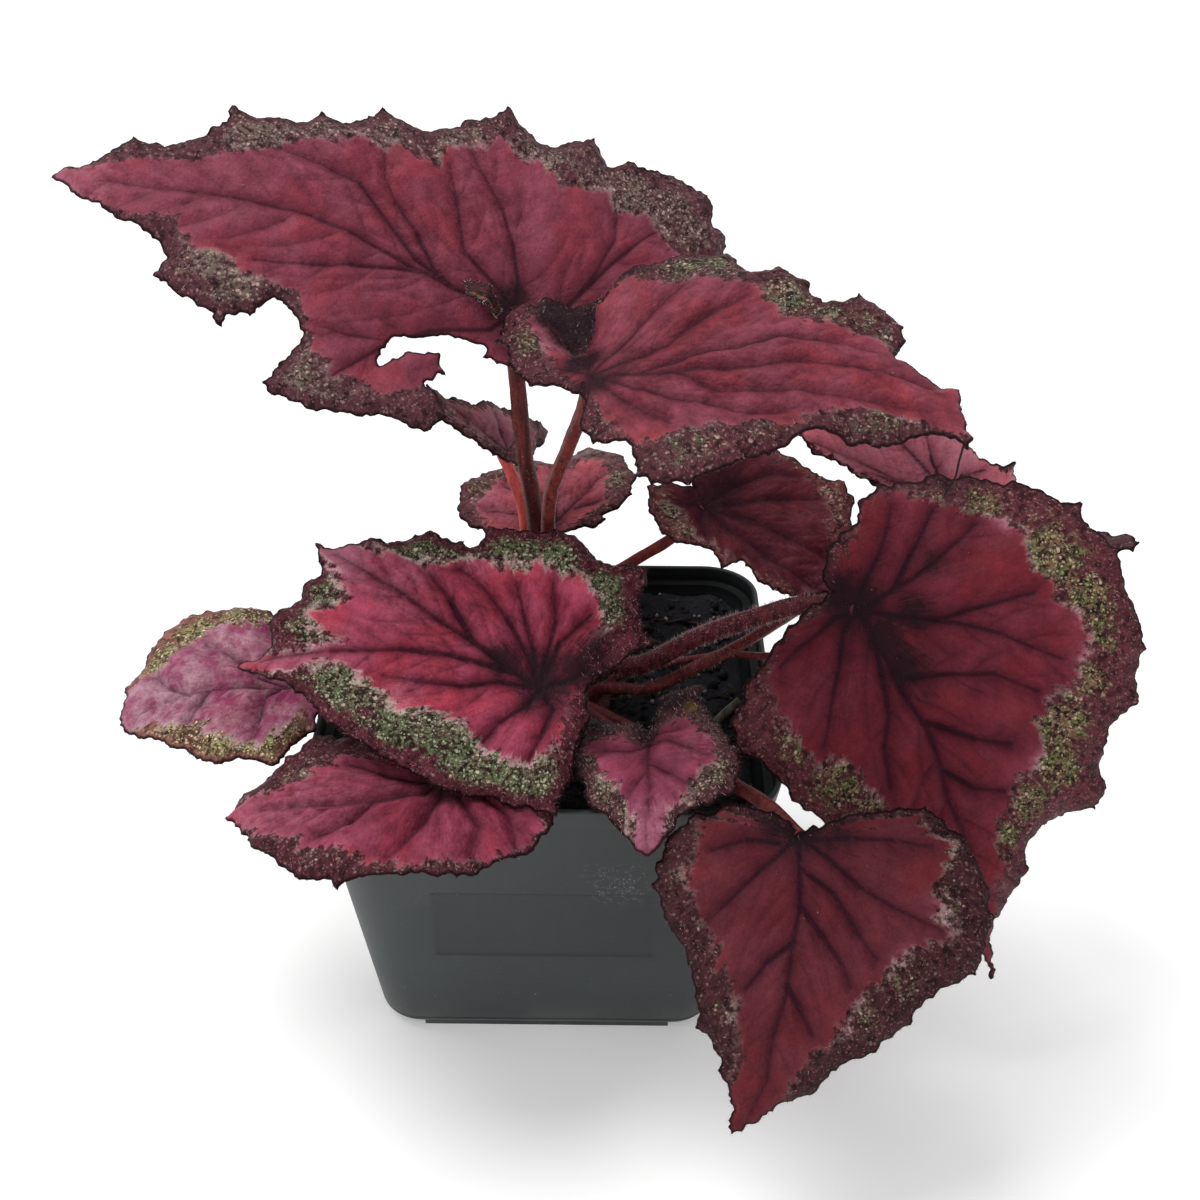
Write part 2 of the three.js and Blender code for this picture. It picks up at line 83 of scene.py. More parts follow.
class Signal:   # one socket, with the arithmetic that the finishes use
    def __init__(self, finish, socket):
        self.finish, self.socket = finish, socket

    def math(self, operation, *others, clamp=False):
        node = self.finish.add("Math", {"operation": operation, "use_clamp": clamp}, [self, *others])
        return Signal(self.finish, node.outputs[0])

    def __add__(self, other):
        return self.math("ADD", other)

    def __sub__(self, other):
        return self.math("SUBTRACT", other)

    def __rsub__(self, other):
        return self * -1 + other

    def __mul__(self, other):
        return self.math("MULTIPLY", other)

    def __abs__(self):
        return self.math("ABSOLUTE")

    __radd__ = __add__
    __rmul__ = __mul__

    def clamped(self):
        return self.math("ADD", 0.0, clamp=True)

    def rise(self, low, high):   # 0 below low, 1 above high, smooth between; low above high makes it fall
        falls = low > high
        node = self.finish.add("MapRange", {"interpolation_type": "SMOOTHSTEP"}, {
            "Value": self, "From Min": min(low, high), "From Max": max(low, high),
            "To Min": float(falls), "To Max": float(not falls)})
        return Signal(self.finish, node.outputs["Result"])


class Finish:   # one procedural material
    kinds = {"Noise": "TexNoise", "Voronoi": "TexVoronoi", "Vector": "VectorMath", "Separate": "SeparateXYZ"}

    def __init__(self, name, **settings):
        self.material = bpy.data.materials.new(name)
        self.material.use_nodes = True
        self.tree = self.material.node_tree
        self.shader = self.tree.nodes["Principled BSDF"]
        for socket, value in settings.items():
            self.shader.inputs[socket.replace("_", " ")].default_value = value
        self.place = Signal(self, self.add("TexCoord").outputs["Object"])

    def add(self, kind, settings=None, inputs=None):
        node = self.tree.nodes.new("ShaderNode" + self.kinds.get(kind, kind))
        for key, value in (settings or {}).items():
            setattr(node, key, value)
        for key, value in (inputs.items() if isinstance(inputs, dict) else enumerate(inputs or [])):
            self.feed(node.inputs[key], value)
        return node

    def feed(self, socket, value):   # a link, a plain value, or a screen colour of three numbers
        if isinstance(value, Signal):
            self.tree.links.new(value.socket, socket)
        elif socket.type == "RGBA" and len(value) == 3:
            socket.default_value = colour(*value)
        else:
            socket.default_value = value

    def attributes(self, *names, output="Fac"):
        nodes = [self.add("Attribute", {"attribute_name": name}) for name in names]
        return [Signal(self, node.outputs[output]) for node in nodes]

    def axes(self):   # the place in metres as three numbers
        node = self.add("Separate", None, [self.place])
        return [Signal(self, socket) for socket in node.outputs]

    def noise(self, size, detail=2.0, roughness=0.5, where=None):   # size in mm; about 0.25 to 0.75
        node = self.add("Noise", None, {"Vector": where or self.place, "Scale": 1 / (size * mm),
                                        "Detail": detail, "Roughness": roughness})
        return Signal(self, node.outputs["Fac"])

    def stretched(self, amounts):
        node = self.add("Mapping", {"vector_type": "POINT"}, {"Vector": self.place, "Scale": amounts})
        return Signal(self, node.outputs[0])

    def warped(self, size, amount):   # the place pushed about by noise
        push = self.add("Noise", None, {"Vector": self.place, "Scale": 1 / (size * mm), "Detail": 1.0})
        node = self.add("Vector", {"operation": "MULTIPLY_ADD"},
                        [Signal(self, push.outputs["Color"]), (amount * mm,) * 3, self.place])
        return Signal(self, node.outputs[0])

    def cells(self, size, feature="F1", where=None):   # distance, and a random number for each cell
        node = self.add("Voronoi", {"feature": feature},
                        {"Vector": where or self.place, "Scale": 1 / (size * mm)})
        return Signal(self, node.outputs["Distance"]), Signal(self, node.outputs[1])

    def specks(self, size, least, most, where=None):   # round spots of random radius, as shares of a cell
        gap, chance = self.cells(size, "F1", where)
        return (chance * (most - least) + least - gap).rise(-0.03, 0.09), chance

    def mix(self, share, first, second, blend="MIX"):
        node = self.add("Mix", {"data_type": "RGBA", "blend_type": blend, "clamp_factor": True},
                        {0: share, 6: first, 7: second})
        return Signal(self, node.outputs[2])

    def bump(self, height, depth, strength=1.0):   # depth in mm
        node = self.add("Bump", None, {"Strength": strength, "Distance": depth * mm, "Height": height})
        return Signal(self, node.outputs[0])

    def done(self, base, roughness=None, normal=None):
        for socket, value in (("Base Color", base), ("Roughness", roughness), ("Normal", normal)):
            if value is not None:
                self.feed(self.shader.inputs[socket], value)
        return self.material


def finished(name, mesh, materials, slot, *nodes, smooth=True):
    piece = bpy.data.objects.new(name, mesh)
    bpy.context.scene.collection.objects.link(piece)
    for material in materials:
        piece.data.materials.append(material)
    mesh.polygons.foreach_set("use_smooth", [smooth] * len(mesh.polygons))
    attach(piece, "root")
    if nodes:
        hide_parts(*nodes)
    return piece


def meshFrom(name, bm):
    mesh = bpy.data.meshes.new(name)
    bm.to_mesh(mesh)
    bm.free()
    return mesh


# Shapes that several pieces share

def segmentGaps(points, starts, ends, chunk=3000):   # distance from points to every segment, by chunks
    way = ends - starts
    square = (way ** 2).sum(1) + 1e-12
    for low in range(0, len(points), chunk):
        offset = points[low:low + chunk, None, :] - starts[None]
        share = np.clip((offset * way).sum(2) / square, 0, 1)
        yield slice(low, low + chunk), np.sqrt(((offset - share[..., None] * way) ** 2).sum(2)), share


def loopGap(points, corners):   # distance to a closed outline, and the nearest place on it
    ends = np.roll(corners, -1, axis=0)
    distance, place = np.zeros(len(points)), np.zeros((len(points), 2))
    for rows, gaps, share in segmentGaps(points, corners, ends):
        best = gaps.argmin(1)
        each = np.arange(len(best))
        distance[rows] = gaps[each, best]
        place[rows] = corners[best] + share[each, best][:, None] * (ends - corners)[best]
    return distance, place


def insideLoop(points, corners):
    inside = np.zeros(len(points), bool)
    for (ax, ay), (bx, by) in zip(corners, np.roll(corners, -1, axis=0)):
        if ay != by:
            crosses = (ay > points[:, 1]) != (by > points[:, 1])
            inside ^= crosses & (points[:, 0] < ax + (points[:, 1] - ay) * (bx - ax) / (by - ay))
    return inside


def cutSheet(outline, cell):   # a fine flat grid, cut to an outline and snapped to it
    low, high = outline.min(0) - cell, outline.max(0) + cell
    wide, deep = (int(n) for n in np.ceil((high - low) / cell))
    bm = bmesh.new()
    bmesh.ops.create_grid(bm, x_segments=wide, y_segments=deep, size=0.5)
    stretch = Matrix.Diagonal((*(high - low), 1, 1))
    middle = Matrix.Translation((*(low + high) / 2, 0))
    bmesh.ops.transform(bm, matrix=middle @ stretch, verts=bm.verts)
    spots = np.array([v.co[:2] for v in bm.verts])
    quads = np.array([[v.index for v in f.verts] for f in bm.faces])
    keep = insideLoop(spots[quads].mean(1), outline)
    bmesh.ops.delete(bm, geom=[f for f, kept in zip(list(bm.faces), keep) if not kept], context="FACES")
    for _ in range(3):   # faces that hang by one corner
        loose = {f for v in bm.verts if sum(e.is_boundary for e in v.link_edges) > 2 for f in v.link_faces
                 if sum(e.is_boundary for e in f.edges) > 1}
        bmesh.ops.delete(bm, geom=list(loose), context="FACES")
    rim = [v for v in bm.verts if v.is_boundary]
    _, snapped = loopGap(np.array([v.co[:2] for v in rim]), outline)
    for v, (x, y) in zip(rim, snapped):
        v.co.x, v.co.y = x, y
    near = {w for v in rim for e in v.link_edges for w in e.verts if not w.is_boundary}
    bmesh.ops.smooth_vert(bm, verts=list(near), factor=0.5, use_axis_x=True, use_axis_y=True)
    return bm


def wander(points, wave, seed):   # smooth noise, -1 to 1, for places in mm
    return np.array([noise.noise(Vector((x / wave, y / wave, seed))) for x, y in points])


def nextRing(bm, ring, edges):   # extrudes a ring of edges, and gives the new one in the same order
    made = bmesh.ops.extrude_edge_only(bm, edges=edges)["geom"]
    fresh = {v for v in made if isinstance(v, bmesh.types.BMVert)}
    partner = {e.other_vert(v): v for v in fresh for e in v.link_edges if e.other_vert(v) not in fresh}
    return [partner[v] for v in ring], [e for e in made if isinstance(e, bmesh.types.BMEdge)]


def hairPiece(name, hairs, material, slot):   # three-sided spikes: (root, way, length, radius) in mm
    bm = bmesh.new()
    for root, way, length, radius in hairs:
        way = Vector(way).normalized()
        turn = way.to_track_quat("Z", "Y").to_matrix().to_4x4()
        middle = Vector(root) + way * length * 0.5
        bmesh.ops.create_cone(bm, cap_ends=True, segments=3, radius1=radius * mm, radius2=0,
                              depth=length * mm, matrix=Matrix.Translation(middle * mm) @ turn)
    return finished(name, meshFrom(name, bm), [material], slot, smooth=False)


# Leaf outlines, bodies (the red middle) and veins, in photo pixels.
# junction, tip and side set the leaf's plane (third number: mm behind the pot's middle); arch and cup
# bow it along and across; dents are (px, py, radius px, height mm); green, dark and pale are
# (px, py, radius px, strength) patches of speckle, dark blotch and pink-silver, where the dark is partly
# the leaf's own blotch by the stalk and partly painted shade where a leaf lies in shadow; gold is a
# yellowed spot, and the pocket patches paint shade into a shaded pocket of the outer band. Colours are of
# the blade as it is lit, so each leaf's light and shade is painted into them, from deep in the red middle
# to the pits and grains of the outer band. What a leaf doesn't give comes from usual.
leaves = {}
leaves["upper_left"] = {
    "junction": (515, 310, 4), "tip": (51, 177, 10), "side": (383, 107, 34), "arch": 0.05, "cup": -0.05,
    "outline": [
        (520, 326), (590, 332), (668, 305), (720, 262), (727, 246), (726, 236), (711, 225), (713, 208),
        (707, 195), (691, 185), (674, 174), (654, 173), (631, 164), (608, 164), (596, 135), (580, 141),
        (551, 144), (529, 132), (509, 105), (493, 116), (465, 118), (423, 130), (383, 107), (367, 118),
        (343, 120), (321, 109), (311, 116), (268, 116), (232, 107), (221, 127), (184, 141), (145, 141),
        (134, 136), (99, 156), (64, 168), (51, 177), (76, 197), (120, 219), (156, 238), (167, 256),
        (152, 274), (173, 292), (201, 308), (214, 313), (216, 324), (222, 326), (225, 315), (247, 313),
        (250, 317), (274, 297), (293, 315), (303, 335), (291, 350), (278, 368), (261, 381), (270, 394),
        (310, 410), (358, 416), (383, 415), (413, 428), (428, 429), (448, 416), (438, 398), (424, 382),
        (446, 375), (440, 352), (409, 349), (390, 360), (379, 366), (377, 360), (386, 347), (394, 334),
        (419, 335), (452, 336), (487, 349), (483, 357), (510, 369), (520, 350),
    ],
    "body": [
        (40, 172), (100, 165), (140, 160), (180, 161), (212, 157), (220, 152), (245, 157), (260, 155),
        (300, 140), (320, 139), (360, 140), (385, 154), (402, 147), (425, 162), (440, 170), (444, 147),
        (475, 150), (505, 137), (520, 160), (545, 165), (560, 187), (590, 192), (610, 197), (615, 217),
        (645, 220), (660, 235), (678, 258), (660, 285), (600, 318), (540, 352), (505, 378), (470, 362),
        (450, 343), (420, 341), (398, 341), (392, 350), (410, 345), (448, 348), (455, 385), (425, 390),
        (395, 402), (372, 392), (352, 380), (327, 370), (312, 355), (312, 335), (303, 318), (292, 292),
        (280, 288), (260, 282), (237, 282), (232, 265), (215, 255), (195, 255), (180, 235), (177, 222),
        (140, 215), (110, 207), (90, 199), (40, 182),
    ],
    "veins": [
        [(455, 290), (400, 262), (350, 235), (310, 217), (255, 204), (215, 197), (165, 190), (100, 182)],
        [(455, 290), (440, 277), (410, 271), (350, 266), (310, 265), (255, 262)],
        [(455, 290), (435, 272), (417, 235), (395, 202), (385, 180), (385, 150)],
        [(455, 290), (415, 260), (360, 185), (320, 165), (280, 150)],
        [(518, 285), (513, 246), (502, 210), (485, 180), (470, 152)],
        [(500, 290), (465, 255), (455, 195), (450, 168)],
        [(540, 325), (570, 305), (595, 275), (615, 240), (617, 207)],
        [(570, 305), (595, 280), (630, 250), (656, 233)],
        [(490, 330), (430, 330), (385, 340), (345, 335), (320, 327)],
        [(430, 330), (385, 345), (350, 365), (320, 385)],
        [(560, 330), (610, 310), (660, 285)],
    ],
    "green": [(262, 132, 44, 0.8), (318, 126, 38, 0.65), (385, 140, 40, 0.6), (455, 138, 50, 0.6),
              (540, 155, 40, 0.7), (620, 190, 46, 0.85), (664, 212, 34, 0.85), (690, 232, 26, 0.7),
              (212, 262, 28, 0.9), (232, 292, 30, 0.9), (258, 300, 24, 0.7), (186, 262, 16, 0.5),
              (300, 388, 34, 0.9), (330, 398, 26, 0.6), (306, 350, 16, 0.5), (160, 150, 30, 0.35)],
    "dark": [(515, 305, 30, 0.9), (560, 320, 60, 0.5)],
    "pale": [(60, 178, 60, 0.35)],
    "deep": (104, 45, 57), "rich": (146, 73, 91), "vein": 0.65, "quilt": 0.9, "ruffle": 1.0,
    "margin": (86, 50, 57), "speck": (130, 114, 106), "leafGreen": (100, 87, 77), "grit": 0.38,
    "halo": 0.3, "umber": (104, 77, 75), "pit": (68, 49, 51), "grain": (140, 110, 108),
    "greenReach": 18, "flames": 5.0, "shadow": (66, 28, 44), "blush": (126, 66, 78), "bristle": 0.08,
}
leaves["upper_right"] = {
    "junction": (590, 375, -30), "tip": (971, 430, -46), "side": (776, 268, -2), "arch": 0.07,
    "cup": -0.1,
    "outline": [
        (605, 294), (618, 276), (633, 266), (669, 259), (707, 256), (730, 253), (753, 270), (776, 265),
        (807, 279), (822, 304), (847, 303), (858, 296), (886, 309), (904, 326), (905, 340), (895, 353),
        (896, 359), (934, 381), (960, 388), (962, 399), (966, 419), (974, 438), (969, 450), (958, 440),
        (939, 432), (881, 446), (855, 442), (817, 429), (799, 434), (791, 442), (770, 452), (740, 462),
        (715, 470), (690, 482), (665, 484), (651, 485), (638, 478), (625, 439), (618, 440), (592, 441),
        (580, 430), (583, 399), (569, 389), (559, 385), (529, 386), (513, 376), (507, 356), (494, 338),
        (503, 320), (513, 304), (530, 302), (560, 300), (585, 299),
    ],
    "body": [
        (592, 340), (597, 310), (610, 290), (630, 282), (665, 287), (700, 282), (725, 290), (750, 289),
        (775, 305), (780, 320), (805, 322), (830, 320), (855, 337), (880, 342), (895, 352), (915, 370),
        (940, 385), (970, 392), (990, 440), (960, 436), (940, 424), (920, 421), (880, 417), (850, 410),
        (820, 412), (790, 425), (760, 427), (730, 435), (700, 435), (670, 440), (650, 447), (630, 440),
        (615, 430), (602, 410), (585, 388), (560, 372), (540, 352), (525, 325), (535, 318), (560, 345),
        (578, 366),
    ],
    "veins": [
        [(610, 376), (670, 372), (720, 388), (790, 390), (860, 400), (930, 415)],
        [(610, 368), (670, 345), (710, 315), (745, 300)],
        [(605, 360), (630, 340), (655, 310), (680, 290)],
        [(640, 372), (700, 358), (780, 340), (840, 347), (880, 357)],
        [(660, 374), (730, 370), (800, 365), (870, 375), (930, 390)],
        [(605, 388), (630, 405), (670, 425)],
        [(620, 384), (690, 405), (750, 415), (800, 408)],
        [(575, 350), (545, 325)],
        [(570, 370), (535, 365)],
        [(588, 345), (585, 315)],
    ],
    "green": [(690, 268, 40, 0.7), (728, 268, 30, 0.9), (795, 296, 30, 1.1), (830, 312, 24, 0.8),
              (860, 322, 26, 0.5), (890, 340, 26, 0.6), (640, 272, 30, 0.5), (690, 455, 40, 0.45),
              (880, 432, 45, 0.6), (900, 425, 26, 0.5), (760, 440, 34, 0.4), (518, 342, 28, 0.8),
              (600, 430, 30, 0.3)],
    # most dark patches here and all the pocket patches are painted shade in the hollow by the sinus
    "dark": [(560, 312, 24, 0.9), (572, 336, 26, 1.3), (583, 362, 20, 1.3), (550, 322, 18, 0.9),
             (592, 384, 20, 0.8), (636, 274, 22, 0.7), (640, 470, 40, 0.3), (870, 440, 40, 0.4),
             (620, 374, 20, 0.4)],
    "hollow": [(560, 318, 32, 1.4), (578, 345, 32, 1.4), (590, 315, 26, 1.3), (602, 296, 20, 1.0)],
    "pale": [(545, 348, 22, 0.45)],
    "dents": [(574, 330, 42, -6.0), (522, 350, 26, 3.0), (602, 415, 30, -1.5)],
    "deep": (88, 36, 46), "rich": (150, 74, 88), "vein": 0.5, "quilt": 0.8, "ruffle": 1.2,
    "veinTone": 0.7,
    "margin": (82, 44, 51), "leafGreen": (74, 80, 60), "grit": 0.32, "halo": 0.3, "greenReach": 8,
    "speck": (132, 126, 108), "grain": (140, 106, 104), "sideVein": 0.26,
    "fringe": 0.35, "flames": 6.0, "bristle": 0.3, "pleats": (9, 1.0),
}
leaves["right"] = {
    "junction": (856, 610, -23), "tip": (990, 977, -47), "side": (1146, 640, -20), "arch": 0.13,
    "cup": -0.03,
    "outline": [
        (812, 604), (834, 592), (822, 575), (825, 547), (853, 526), (859, 500), (877, 486), (908, 481),
        (933, 474), (975, 478), (1021, 483), (1040, 489), (1084, 504), (1083, 518), (1098, 532), (1116, 549),
        (1125, 579), (1133, 601), (1141, 625), (1148, 650), (1138, 671), (1139, 702), (1119, 720),
        (1107, 738), (1101, 775), (1107, 787), (1095, 809), (1064, 818), (1043, 826), (1027, 846),
        (1029, 867), (1021, 885), (1006, 907), (994, 922), (990, 939), (996, 969), (990, 979), (984, 958),
        (965, 936), (930, 902), (880, 862), (830, 832), (792, 802), (776, 778), (740, 751), (731, 723),
        (746, 683), (766, 662), (789, 625),
    ],
    "body": [
        (833, 570), (850, 527), (863, 500), (877, 492), (900, 488), (920, 497), (947, 503), (973, 507),
        (987, 517), (1010, 518), (1023, 527), (1025, 547), (1033, 563), (1053, 577), (1057, 597),
        (1073, 603), (1083, 617), (1080, 633), (1087, 650), (1083, 660), (1073, 673), (1070, 687),
        (1048, 690), (1040, 713), (1042, 737), (1037, 760), (1020, 773), (1010, 787), (1010, 807),
        (997, 820), (997, 843), (1003, 860), (1003, 877), (997, 903), (990, 925), (1005, 975), (985, 1000),
        (975, 935), (940, 890), (907, 840), (880, 800), (863, 787), (853, 767), (830, 757), (817, 760),
        (797, 747), (787, 727), (770, 700), (767, 677), (773, 660), (787, 633), (815, 612), (836, 600),
    ],
    "veins": [
        [(867, 627), (887, 660), (907, 700), (927, 727), (940, 767), (947, 800), (967, 843), (983, 910)],
        [(907, 617), (960, 623), (1000, 633), (1033, 647), (1060, 658)],
        [(907, 617), (935, 620), (960, 612), (993, 603), (1033, 593)],
        [(870, 603), (893, 590), (933, 563), (953, 543), (977, 523)],
        [(863, 587), (880, 553), (887, 527), (890, 505)],
        [(893, 590), (910, 555), (933, 510)],
        [(843, 633), (840, 660), (833, 693), (827, 727), (823, 745)],
        [(835, 618), (820, 632), (795, 650), (780, 668)],
        [(875, 640), (882, 677), (888, 713), (884, 747), (889, 787)],
        [(880, 648), (900, 677), (953, 673), (993, 673), (1037, 690)],
        [(925, 722), (973, 737), (1010, 743)],
        [(942, 770), (973, 787), (1003, 790)],
        [(845, 600), (838, 580)],
    ],
    "green": [(1053, 550, 32, 1.0), (1087, 600, 28, 0.9), (1097, 633, 20, 0.6), (1090, 677, 20, 0.7),
              (1060, 720, 26, 1.0), (1057, 762, 28, 1.0), (1027, 797, 20, 0.8), (1007, 830, 20, 0.7),
              (980, 497, 24, 0.8), (927, 493, 16, 0.7), (793, 740, 22, 0.6), (837, 783, 28, 0.8),
              (870, 790, 20, 0.7), (870, 520, 14, 0.4)],
    "dark": [(852, 600, 34, 1.0), (905, 665, 30, 0.8), (930, 560, 20, 0.55), (912, 612, 26, 0.8),
             (885, 635, 28, 0.9), (925, 690, 20, 0.5), (845, 650, 14, 0.5), (960, 545, 12, 0.4),
             (950, 484, 44, 0.42)],
    "pale": [(1007, 513, 14, 0.6), (1090, 655, 14, 0.6), (1040, 760, 12, 0.5), (1085, 610, 12, 0.3)],
    "deep": (84, 28, 39), "rich": (121, 48, 59), "vein": 0.75, "quilt": 0.9, "ruffle": 0.8,
    "margin": (84, 42, 49), "speck": (126, 126, 92), "leafGreen": (74, 86, 48), "fringe": 0.5,
    "halo": 0.6,
    "umber": (110, 84, 66), "pit": (38, 28, 26), "grit": 0.26, "grain": (150, 114, 106), "bristle": 0.2,
}
leaves["front"] = {
    "junction": (799, 836, -62), "tip": (731, 1135, -94), "side": (990, 893, -70), "arch": 0.06,
    "cup": -0.08,
    "outline": [
        (799, 831), (788, 820), (773, 811), (747, 805), (722, 806), (691, 816), (671, 834), (656, 862),
        (652, 888), (663, 918), (681, 944), (691, 977), (696, 1000), (695, 1028), (709, 1038), (721, 1058),
        (718, 1071), (731, 1099), (728, 1127), (731, 1136), (742, 1132), (773, 1113), (814, 1094),
        (832, 1071), (875, 1053), (913, 1023), (921, 1007), (949, 987), (977, 977), (987, 946), (995, 918),
        (990, 893), (977, 862), (964, 836), (944, 819), (926, 806), (901, 807), (860, 811), (814, 824),
    ],
    "body": [
        (790, 847), (767, 823), (740, 815), (720, 814), (698, 823), (695, 847), (693, 867), (680, 873),
        (690, 893), (697, 913), (707, 933), (717, 947), (713, 967), (727, 980), (737, 997), (730, 1013),
        (740, 1033), (740, 1057), (733, 1077), (718, 1085), (710, 1150), (750, 1150), (790, 1112),
        (793, 1080), (813, 1053), (840, 1037), (843, 1020), (860, 997), (880, 983), (888, 973), (893, 957),
        (913, 950), (923, 947), (943, 937), (960, 930), (933, 917), (937, 907), (957, 900), (937, 890),
        (943, 873), (953, 857), (950, 843), (933, 827), (917, 815), (893, 813), (860, 820), (827, 827),
        (807, 840),
    ],
    "veins": [
        [(800, 867), (800, 910), (793, 943), (787, 993), (773, 1037), (767, 1080), (747, 1120)],
        [(773, 860), (747, 883), (723, 907), (705, 925)],
        [(780, 843), (747, 840), (712, 850)],
        [(827, 857), (860, 887), (893, 907), (920, 920), (943, 930)],
        [(820, 840), (850, 838), (893, 840), (933, 847)],
        [(800, 905), (823, 937), (843, 967), (850, 987)],
        [(793, 943), (767, 962), (745, 990)],
        [(803, 870), (833, 893), (860, 937), (877, 960)],
        [(787, 985), (800, 1010), (812, 1035)],
    ],
    "green": [(670, 880, 26, 0.4), (945, 915, 20, 0.6), (950, 890, 16, 0.5), (690, 940, 22, 0.4),
              (860, 1015, 26, 0.5), (900, 975, 30, 0.5), (722, 1010, 18, 0.4), (950, 850, 20, 0.6)],
    "dark": [(802, 833, 26, 0.9), (772, 828, 20, 0.7), (835, 833, 30, 0.6)],
    "pale": [(940, 905, 14, 0.2), (905, 955, 12, 0.2), (850, 1025, 12, 0.2)],
    "deep": (79, 30, 37), "rich": (106, 47, 55), "vein": 0.7, "quilt": 0.8, "ruffle": 0.6,
    "margin": (62, 33, 37), "leafGreen": (72, 66, 50), "grit": 0.22, "fringe": 0.65, "bristle": 0.2,
    "umber": (88, 64, 56), "speck": (122, 118, 98), "grain": (136, 104, 102), "sideVein": 0.2,
}
leaves["centre"] = {
    "junction": (540, 689, -35), "tip": (232, 667, -32), "side": (500, 531, -7), "arch": 0.03,
    "cup": 0.06,
    "outline": [
        (585, 692), (612, 668), (660, 642), (644, 632), (642, 622), (639, 602), (647, 586), (649, 568),
        (631, 566), (603, 563), (588, 548), (575, 535), (557, 530), (489, 528), (485, 533), (475, 546),
        (469, 548), (465, 537), (452, 541), (434, 532), (414, 532), (401, 539), (370, 537), (342, 546),
        (314, 541), (317, 551), (321, 574), (304, 582), (301, 597), (279, 610), (268, 622), (270, 645),
        (230, 667), (266, 678), (312, 703), (317, 717), (345, 735), (380, 758), (432, 788), (465, 796),
        (510, 806), (557, 816), (560, 798), (573, 780), (575, 760), (582, 738), (592, 715),
    ],
    "body": [
        (305, 532), (357, 547), (377, 553), (400, 560), (430, 567), (457, 563), (480, 557), (493, 560),
        (500, 570), (507, 563), (517, 575), (530, 570), (543, 565), (553, 573), (570, 580), (580, 577),
        (593, 593), (600, 610), (600, 630), (590, 643), (580, 652), (583, 668), (582, 690), (567, 712),
        (563, 730), (557, 748), (543, 756), (530, 764), (513, 760), (503, 765), (495, 758), (478, 744),
        (466, 734), (453, 721), (443, 720), (427, 710), (400, 710), (387, 700), (383, 690), (367, 680),
        (347, 670), (327, 665), (287, 670), (260, 669), (225, 670), (225, 662), (267, 649), (287, 652),
        (313, 650), (347, 645), (333, 638), (313, 625), (312, 615), (333, 612), (350, 600), (340, 587),
        (330, 570), (320, 553),
    ],
    "veins": [
        [(510, 670), (473, 643), (433, 617), (400, 593), (367, 573), (333, 553)],
        [(510, 672), (490, 667), (450, 657), (400, 650), (333, 653), (260, 660)],
        [(500, 683), (460, 687), (417, 683), (383, 677)],
        [(530, 660), (507, 620), (483, 587), (460, 570)],
        [(547, 657), (557, 620), (553, 583)],
        [(560, 643), (583, 623), (592, 615)],
        [(533, 650), (523, 610), (517, 583)],
        [(527, 707), (500, 723), (483, 743)],
        [(553, 710), (540, 740), (527, 765)],
        [(473, 643), (450, 600), (430, 575)],
        [(575, 680), (610, 650), (630, 620)],
    ],
    "green": [(420, 549, 36, 1.0), (470, 556, 30, 0.9), (520, 549, 32, 1.1), (560, 560, 26, 0.9),
              (603, 585, 20, 1.1), (610, 612, 20, 0.9), (325, 595, 26, 0.8), (310, 630, 26, 0.8),
              (350, 690, 45, 1.0),
              (410, 730, 50, 1.1), (470, 770, 50, 1.1), (530, 790, 40, 1.0), (290, 685, 30, 0.8)],
    "dark": [(545, 682, 34, 1.0), (505, 662, 24, 0.9), (575, 668, 28, 0.9), (470, 640, 14, 0.5),
             (590, 652, 28, 0.7), (530, 704, 22, 0.6), (600, 690, 28, 0.7)],
    "pale": [(335, 560, 34, 0.9), (262, 662, 44, 0.35), (310, 660, 40, 0.3), (400, 585, 40, 0.25),
             (480, 565, 20, 0.3), (400, 700, 16, 0.35)],
    "deep": (110, 38, 52), "rich": (184, 80, 106), "vein": 0.75, "quilt": 1.1, "ruffle": 1.1,
    "margin": (84, 37, 47), "speck": (134, 136, 112), "leafGreen": (72, 86, 56), "fringe": 1.0,
    "halo": 0.6, "umber": (84, 80, 62), "pit": (36, 29, 26), "grit": 0.24, "bristle": 0.8,
}
